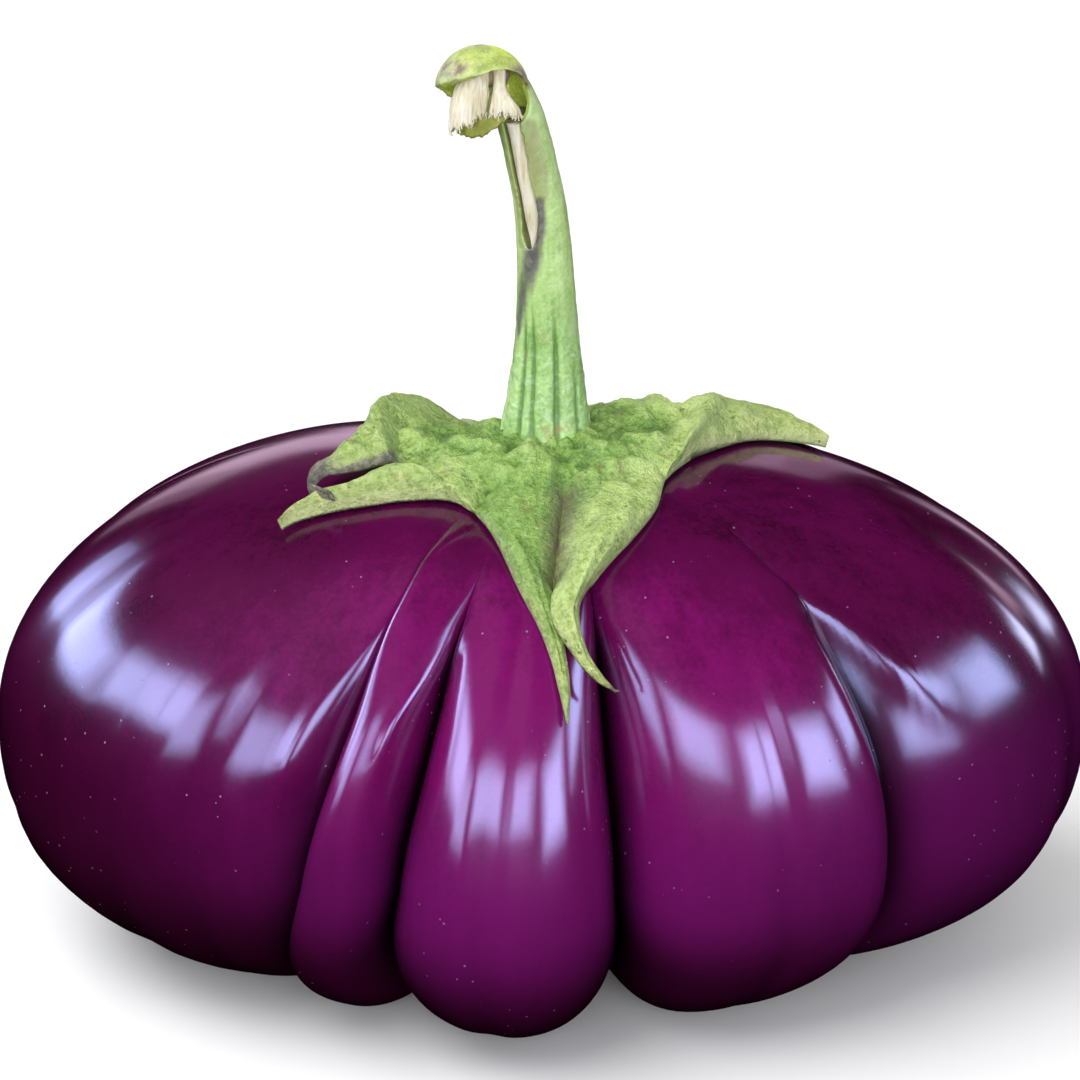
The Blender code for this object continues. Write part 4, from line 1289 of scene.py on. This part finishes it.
# Outline of each stump as stations from its root down: centre x and y, height, half width and depth
LEFT_STUMP = (
    (-8.6, -3.6, 128.2, 1.7, 1.1),
    (-8.9, -4.3, 126.8, 2.0, 1.3),
    (-9.2, -4.7, 125.2, 2.25, 1.5),
    (-9.5, -5.1, 123.2, 2.5, 1.5),
    (-9.7, -5.3, 121.2, 2.5, 1.3),
)
RIGHT_STUMP = (
    (-5.5, -3.9, 128.2, 0.95, 0.8),
    (-5.4, -4.6, 127.0, 0.80, 0.75),
    (-5.4, -5.2, 125.6, 0.85, 0.75),
    (-5.1, -5.6, 124.2, 1.30, 0.8),
    (-4.7, -5.8, 123.0, 1.90, 0.75),
    (-4.6, -5.9, 122.4, 2.05, 0.6),
)
STUMP_SIDES = 110
STUMP_ROWS = 44
# How ragged the stumps' lower ends are, and how much each slants
STUMP_TEAR = 0.9
STUMP_SLANTS = (0.55, -0.10)
STUMP_FIBRES = 0.10
KNOT_CENTRE = (-7.4, -2.4, 126.6)
KNOT_RADII = (3.4, 2.1, 1.7)
# Lower edge of the shred of inner bark as x, y and height, and its height above that edge
SHRED_EDGE = (
    (-11.1, -4.6, 119.2),
    (-10.0, -5.2, 118.8),
    (-8.6, -5.4, 118.7),
    (-7.3, -5.3, 119.1),
    (-6.3, -5.3, 120.0),
    (-5.0, -5.2, 120.6),
    (-4.2, -5.0, 121.2),
)
SHRED_HEIGHT = 4.6
SHRED_THICKNESS = 0.45
SHRED_COLUMNS = 90
SHRED_ROWS = 14
FIBRE_SIZES = {"Length": 0.0008, "Thickness": 0.00011, "Bend": 0.25, "Spread": 0.30, "Seed": 5}


def stump_rows(stations, seed, slant):
    """Rings down a torn stump, grooved along its fibres and ragged at its slanting lower end."""
    t = np.linspace(0, len(stations) - 1, STUMP_ROWS)
    x, y, z, wide, deep = spline(stations, t).T
    around = np.linspace(0, 2 * math.pi, STUMP_SIDES, endpoint=False)
    ring = toward(around)
    tear = STUMP_TEAR * (random_lumps(ring * 6, 1.1, seed) + 0.6 * random_lumps(ring * 6, 0.35, seed + 3))
    down = np.linspace(0, 1, STUMP_ROWS)
    rows = []
    for i in range(STUMP_ROWS):
        at = np.column_stack([ring * 9, np.full(STUMP_SIDES, z[i] * 0.35)])
        grooved = 1 + STUMP_FIBRES * (random_lumps(at, 1.3, seed) + 0.7 * random_lumps(at, 0.5, seed + 1))
        plan = ring * (wide[i], deep[i]) * grooved[:, None]
        height = z[i] + (tear + slant * plan[:, 0]) * smooth(down[i], 0.45, 1.0)
        rows.append(np.column_stack([plan[:, 0] + x[i], plan[:, 1] + y[i], height]))
    middle = rows[-1].mean(0)
    for share, rise in ((0.72, 0.15), (0.42, 0.7), (0.15, 1.0)):
        rows.append(middle + (rows[STUMP_ROWS - 1] - middle) * share + (0, 0, rise))
    return rows


def add_rings(parts, rows, green=0.0, brown=0.0):
    """Adds a closed body through rings of points, first ring on top, and how green or brown it is."""
    start = sum(len(points) for points, _, _ in parts)
    sides = len(rows[0])
    points = np.concatenate(rows + [[rows[0].mean(0), rows[-1].mean(0)]])
    faces = []
    for row in range(len(rows) - 1):
        faces += ring_band(start + (row + 1) * sides, start + row * sides, sides)
    faces += fan(start + len(points) - 2, start, sides, True)
    faces += fan(start + len(points) - 1, start + (len(rows) - 1) * sides, sides, False)
    parts.append((points, faces, np.tile([green, brown], (len(points), 1))))


def shred_rows():
    """Rings round the thin shred of inner bark, from its upper edge down."""
    t = np.linspace(0, len(SHRED_EDGE) - 1, SHRED_COLUMNS)
    edge = spline(SHRED_EDGE, t)
    edge[:, 2] += 0.30 * random_lumps(edge, 0.9, 2.0) + 0.25 * random_lumps(edge, 0.35, 7.0)
    rows = []
    for share in np.linspace(1, 0, SHRED_ROWS):
        height = np.full(SHRED_COLUMNS, share * SHRED_HEIGHT)
        front = edge + np.column_stack([np.zeros(SHRED_COLUMNS), 0.15 * height, height])
        front[:, 1] += 0.25 * random_lumps(front, 1.2, 4.0)
        thick = SHRED_THICKNESS * (0.25 + 0.75 * math.sin(math.pi * min(share + 0.08, 0.92)))
        rows.append(np.concatenate([front - (0, thick / 2, 0), front[::-1] + (0, thick / 2, 0)]))
    return rows


def make_wood():
    """Strip, knot, stumps and shred, and the places along the torn ends where fibres hang."""
    parts = []
    shares = np.linspace(0, STRIP_END, 60)
    centres, sections = peel_path(WOOD_RADIUS, WOOD_INSET, shares)
    narrow = 0.30 + 0.70 * smooth(shares, -0.02, 0.45)
    strip = [centre + section * size for centre, section, size in zip(centres, sections, narrow)][::-1]
    add_rings(parts, strip)
    angles = np.linspace(math.pi / 2, -math.pi / 2, 20)[1:-1]
    outline = level_section(1, 36) * (KNOT_RADII[0], KNOT_RADII[1], 0)
    tops = [(0, 0, KNOT_RADII[2] * math.sin(a)) for a in angles]
    knot = [KNOT_CENTRE + outline * math.cos(a) + top for a, top in zip(angles, tops)]
    add_rings(parts, knot, brown=1.0)
    torn = []
    for seed, stations, slant in zip((1.0, 6.0), (LEFT_STUMP, RIGHT_STUMP), STUMP_SLANTS):
        rows = stump_rows(stations, seed, slant)
        add_rings(parts, rows)
        torn += [rows[STUMP_ROWS - 2][::2], rows[STUMP_ROWS][1::3]]
    add_rings(parts, shred_rows(), green=1.0)
    points = np.concatenate([points for points, _, _ in parts]) * MM
    wood = add_piece("stem_wood_body", points, [face for _, faces, _ in parts for face in faces])
    marks = np.concatenate([marks for _, _, marks in parts])
    add_attribute(wood, "green", marks[:, 0])
    add_attribute(wood, "brown", marks[:, 1])
    return wood, np.concatenate(torn) * MM


def wood_material():
    """Dry cream wood, streaked along its fibres, browner in the splits. The shred is yellow green."""
    material, place, attribute, feed = new_material("stem wood", Specular_IOR_Level=0.25)
    green, brown = attribute("green"), attribute("brown")
    fibres = place.noise(1500, 3, 0.6, stretch=(1, 1, 0.07))
    clouds = place.noise(420, 3, 0.6, stretch=(1, 1, 0.4), shift=(1, 2, 3))
    tone = fibres * 0.65 + clouds * 0.35
    body = tone.steps(0.30, 0.50).mixed(colour(0.500, 0.410, 0.230), colour(0.680, 0.630, 0.450))
    body = tone.steps(0.46, 0.60).mixed(body, colour(0.780, 0.750, 0.640))
    body = (brown * 0.8).mixed(body, colour(0.200, 0.110, 0.035))
    bark = clouds.steps(0.35, 0.65).mixed(colour(0.210, 0.230, 0.020), colour(0.470, 0.490, 0.110))
    body = green.mixed(body, bark)
    feed("Base Color", body)
    feed("Roughness", clouds.steps(0.3, 0.7, 0.70, 0.85))
    feed("Normal", (fibres * 0.7 + clouds * 0.3).bump(0.00025, 0.6))
    return material


def fibre_tree(material):
    """Nodes that hang a thin bent fibre from every point, each with its own turn and length."""
    tree = bpy.data.node_groups.new("torn fibres", "GeometryNodeTree")
    tree.interface.new_socket("Geometry", in_out="INPUT", socket_type="NodeSocketGeometry")
    for name, size in FIBRE_SIZES.items():
        kind = "NodeSocketInt" if isinstance(size, int) else "NodeSocketFloat"
        tree.interface.new_socket(name, in_out="INPUT", socket_type=kind)
    tree.interface.new_socket("Geometry", in_out="OUTPUT", socket_type="NodeSocketGeometry")
    entry = tree.nodes.new("NodeGroupInput")
    given = {socket.name: Value(tree, socket) for socket in entry.outputs}
    start = given["Geometry"]
    line = start.node("GeometryNodeCurvePrimitiveLine", {}, {"Start": (0, 0, 0), "End": (0, 0, -1)})
    line = start.node("GeometryNodeResampleCurve", {}, {"Curve": line, "Count": 7})
    along = start.node("GeometryNodeSplineParameter", {}, {}, "Factor")
    bent = start.node("ShaderNodeCombineXYZ", {}, {"X": along * along * given["Bend"]})
    line = start.node("GeometryNodeSetPosition", {}, {"Geometry": line, "Offset": bent})
    line = start.node("GeometryNodeSetCurveRadius", {}, {"Curve": line, "Radius": 1.1 - along})
    profile = {"Radius": given["Thickness"] / given["Length"], "Resolution": 5}
    circle = start.node("GeometryNodeCurvePrimitiveCircle", {}, profile)
    tube = {"Curve": line, "Profile Curve": circle, "Fill Caps": True}
    fibre = start.node("GeometryNodeCurveToMesh", {}, tube)
    lean = given["Spread"]
    low = start.node("ShaderNodeCombineXYZ", {}, {"X": lean * -1, "Y": lean * -1})
    high = start.node("ShaderNodeCombineXYZ", {}, {"X": lean, "Y": lean, "Z": 2 * math.pi})
    turn = {"Min": low, "Max": high, "Seed": given["Seed"]}
    turned = start.node("FunctionNodeRandomValue", {"data_type": "FLOAT_VECTOR"}, turn)
    size = {2: given["Length"] * 0.35, 3: given["Length"], "Seed": given["Seed"]}
    sized = start.node("FunctionNodeRandomValue", {"data_type": "FLOAT"}, size, 1)
    placed = {"Points": start, "Instance": fibre, "Rotation": turned, "Scale": sized}
    hung = start.node("GeometryNodeInstanceOnPoints", {}, placed)
    real = start.node("GeometryNodeRealizeInstances", {}, {"Geometry": hung})
    done = start.node("GeometryNodeSetMaterial", {}, {"Geometry": real, "Material": material})
    leave = tree.nodes.new("NodeGroupOutput")
    tree.links.new(done.socket, leave.inputs[0])
    return tree


def hang_fibres(places, material):
    """The loose fibres at the torn ends, made by the nodes and turned into a plain mesh."""
    fibres = add_piece("stem_wood_fibres", places, [])
    modifier = fibres.modifiers.new("fibres", "NODES")
    modifier.node_group = fibre_tree(material)
    for socket in modifier.node_group.interface.items_tree:
        if socket.name in FIBRE_SIZES:
            modifier[socket.identifier] = FIBRE_SIZES[socket.name]
    apply_modifiers(fibres)
    for name in ("green", "brown"):
        add_attribute(fibres, name, np.zeros(len(fibres.data.vertices)))
    return fibres


pale_wood = wood_material()
wood, torn_places = make_wood()
wood.data.materials.append(pale_wood)
fibres = hang_fibres(torn_places, pale_wood)
for piece in (wood, fibres):
    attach(piece, "root")
    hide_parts("stem_wood")

# Camera. It looks down 21 degrees from in front, at the photograph's viewing angle, and its target
# lies in the middle of the picture.
VIEW_ELEVATION = math.radians(21)
VIEW_DISTANCE = 0.75
VIEW_TARGET_HEIGHT = 0.0588
VIEW_LENS = 179.7
camera = bpy.data.objects.new("camera", bpy.data.cameras.new("camera"))
camera.data.lens = VIEW_LENS
camera.data.sensor_width = 36
camera.data.clip_start = 0.02
camera.location = (
    0,
    -VIEW_DISTANCE * math.cos(VIEW_ELEVATION),
    VIEW_TARGET_HEIGHT + VIEW_DISTANCE * math.sin(VIEW_ELEVATION),
)
camera.rotation_euler = (math.pi / 2 - VIEW_ELEVATION, 0, 0)
bpy.context.scene.collection.objects.link(camera)
bpy.context.scene.camera = camera

# Floor. A plain pale sheet under the fruit. The dark skin neither mirrors it nor takes light from
# it, as in a product picture with the background cleared away.
FLOOR_HALF = 6.0
FLOOR_HEIGHT = -0.0003
FLOOR_COLOUR = colour(0.90, 0.90, 0.90)
turns = ((-1, -1), (1, -1), (1, 1), (-1, 1))
corners = [(x * FLOOR_HALF, y * FLOOR_HALF, FLOOR_HEIGHT) for x, y in turns]
floor = add_piece("floor", corners, [(0, 1, 2, 3)])
floor_look = {"Roughness": 1.0, "Specular_IOR_Level": 0.0, "Base_Color": FLOOR_COLOUR}
floor_material, _, _, _ = new_material("floor", **floor_look)
floor.data.materials.append(floor_material)
floor.visible_glossy = False
floor.visible_diffuse = False

# Lights. A ring of cool soft boxes stands low round the fruit with gaps between them, so that each
# lobe mirrors its own bright patch. They give highlights only. A soft key light from the front left,
# a fill from the camera's side and the even white room light the colours and the floor.
BOX_DISTANCE = 1.6
AIM_HEIGHT = 0.045
COOL = (0.45, 0.53, 1.0)
NEUTRAL = (0.62, 0.66, 1.0)
ROSE = (1.0, 0.70, 0.95)
WHITE = (1.0, 1.0, 1.0)
# Azimuths and elevations in degrees between which a box is seen, its brightness and colour
SOFT_BOXES = (
    ("left window", -134, -84, 11, 31, 17.0, COOL),
    ("left front window", -84, -58, 12, 33, 17.0, COOL),
    ("front left window", -62, -38, 5, 29, 12.0, COOL),
    ("front window", -30, 18, 12, 34, 15.0, COOL),
    ("front right window", 28, 60, 2, 30, 19.0, COOL),
    ("right front window", 68, 96, 9, 30, 16.0, COOL),
    ("right back window", 117, 134, 3, 18, 10.0, NEUTRAL),
    ("right rear window", 138, 162, 4, 11, 1.7, ROSE),
    ("back window", 165, 205, 2, 24, 1.6, ROSE),
)
# Each box is made of nested layers, one behind the other, so that its mirrored edge is soft:
# their sizes as shares of the window, and how much further away each next one hangs
SOFT_EDGES = (1.0, 0.8, 0.6)
SOFT_EDGE_STEP = 0.02
KEY_LIGHT = ("key light", -105, -35, 40, 74, 3.6, WHITE)
FILL_LIGHT = ("fill light", -24, 30, 2, 28, 5.2, WHITE)
ROOM_BRIGHTNESS = 0.62
ROOM_UNDER = 0.12


def add_soft_box(name, left, right, low, high, brightness, tint, share=1.0, away=BOX_DISTANCE):
    """A lamp that fills the window between two azimuths and elevations, or a share of its size."""
    azimuth = math.radians((left + right) / 2)
    elevation = math.radians((low + high) / 2)
    lamp = bpy.data.lights.new(name, "AREA")
    lamp.shape = "RECTANGLE"
    lamp.size = 2 * away * math.tan(math.radians(right - left) * share / 2)
    lamp.size_y = 2 * away * math.tan(math.radians(high - low) * share / 2)
    lamp.energy = brightness * math.pi * lamp.size * lamp.size_y
    lamp.color = tint
    box = bpy.data.objects.new(name, lamp)
    box.location = (
        away * math.sin(azimuth) * math.cos(elevation),
        -away * math.cos(azimuth) * math.cos(elevation),
        AIM_HEIGHT + away * math.sin(elevation),
    )
    box.rotation_euler = (math.pi / 2 - elevation, 0, azimuth)
    box.visible_camera = False
    bpy.context.scene.collection.objects.link(box)
    return box


def light_room():
    """Even white light from above, and little from below. Shiny surfaces don't mirror it."""
    world = bpy.data.worlds.new("room")
    world.use_nodes = True
    tree = world.node_tree
    place = Value(tree, None).node("ShaderNodeTexCoord", {}, {}, "Generated")
    upward = place.node("ShaderNodeSeparateXYZ", {}, {"Vector": place}, "Z")
    background = tree.nodes["Background"]
    background.inputs["Color"].default_value = colour(1, 1, 1)
    strength = upward.steps(-0.05, 0.05, ROOM_UNDER, ROOM_BRIGHTNESS)
    tree.links.new(strength.socket, background.inputs["Strength"])
    world.cycles_visibility.glossy = False
    bpy.context.scene.world = world


for name, left, right, low, high, brightness, tint in SOFT_BOXES:
    for layer, share in enumerate(SOFT_EDGES):
        away = BOX_DISTANCE * (1 + SOFT_EDGE_STEP * layer)
        part = brightness / len(SOFT_EDGES)
        add_soft_box(name, left, right, low, high, part, tint, share, away).visible_diffuse = False
add_soft_box(*KEY_LIGHT).visible_glossy = False
add_soft_box(*FILL_LIGHT).visible_glossy = False
light_room()
bpy.context.scene.view_settings.view_transform = "Standard"
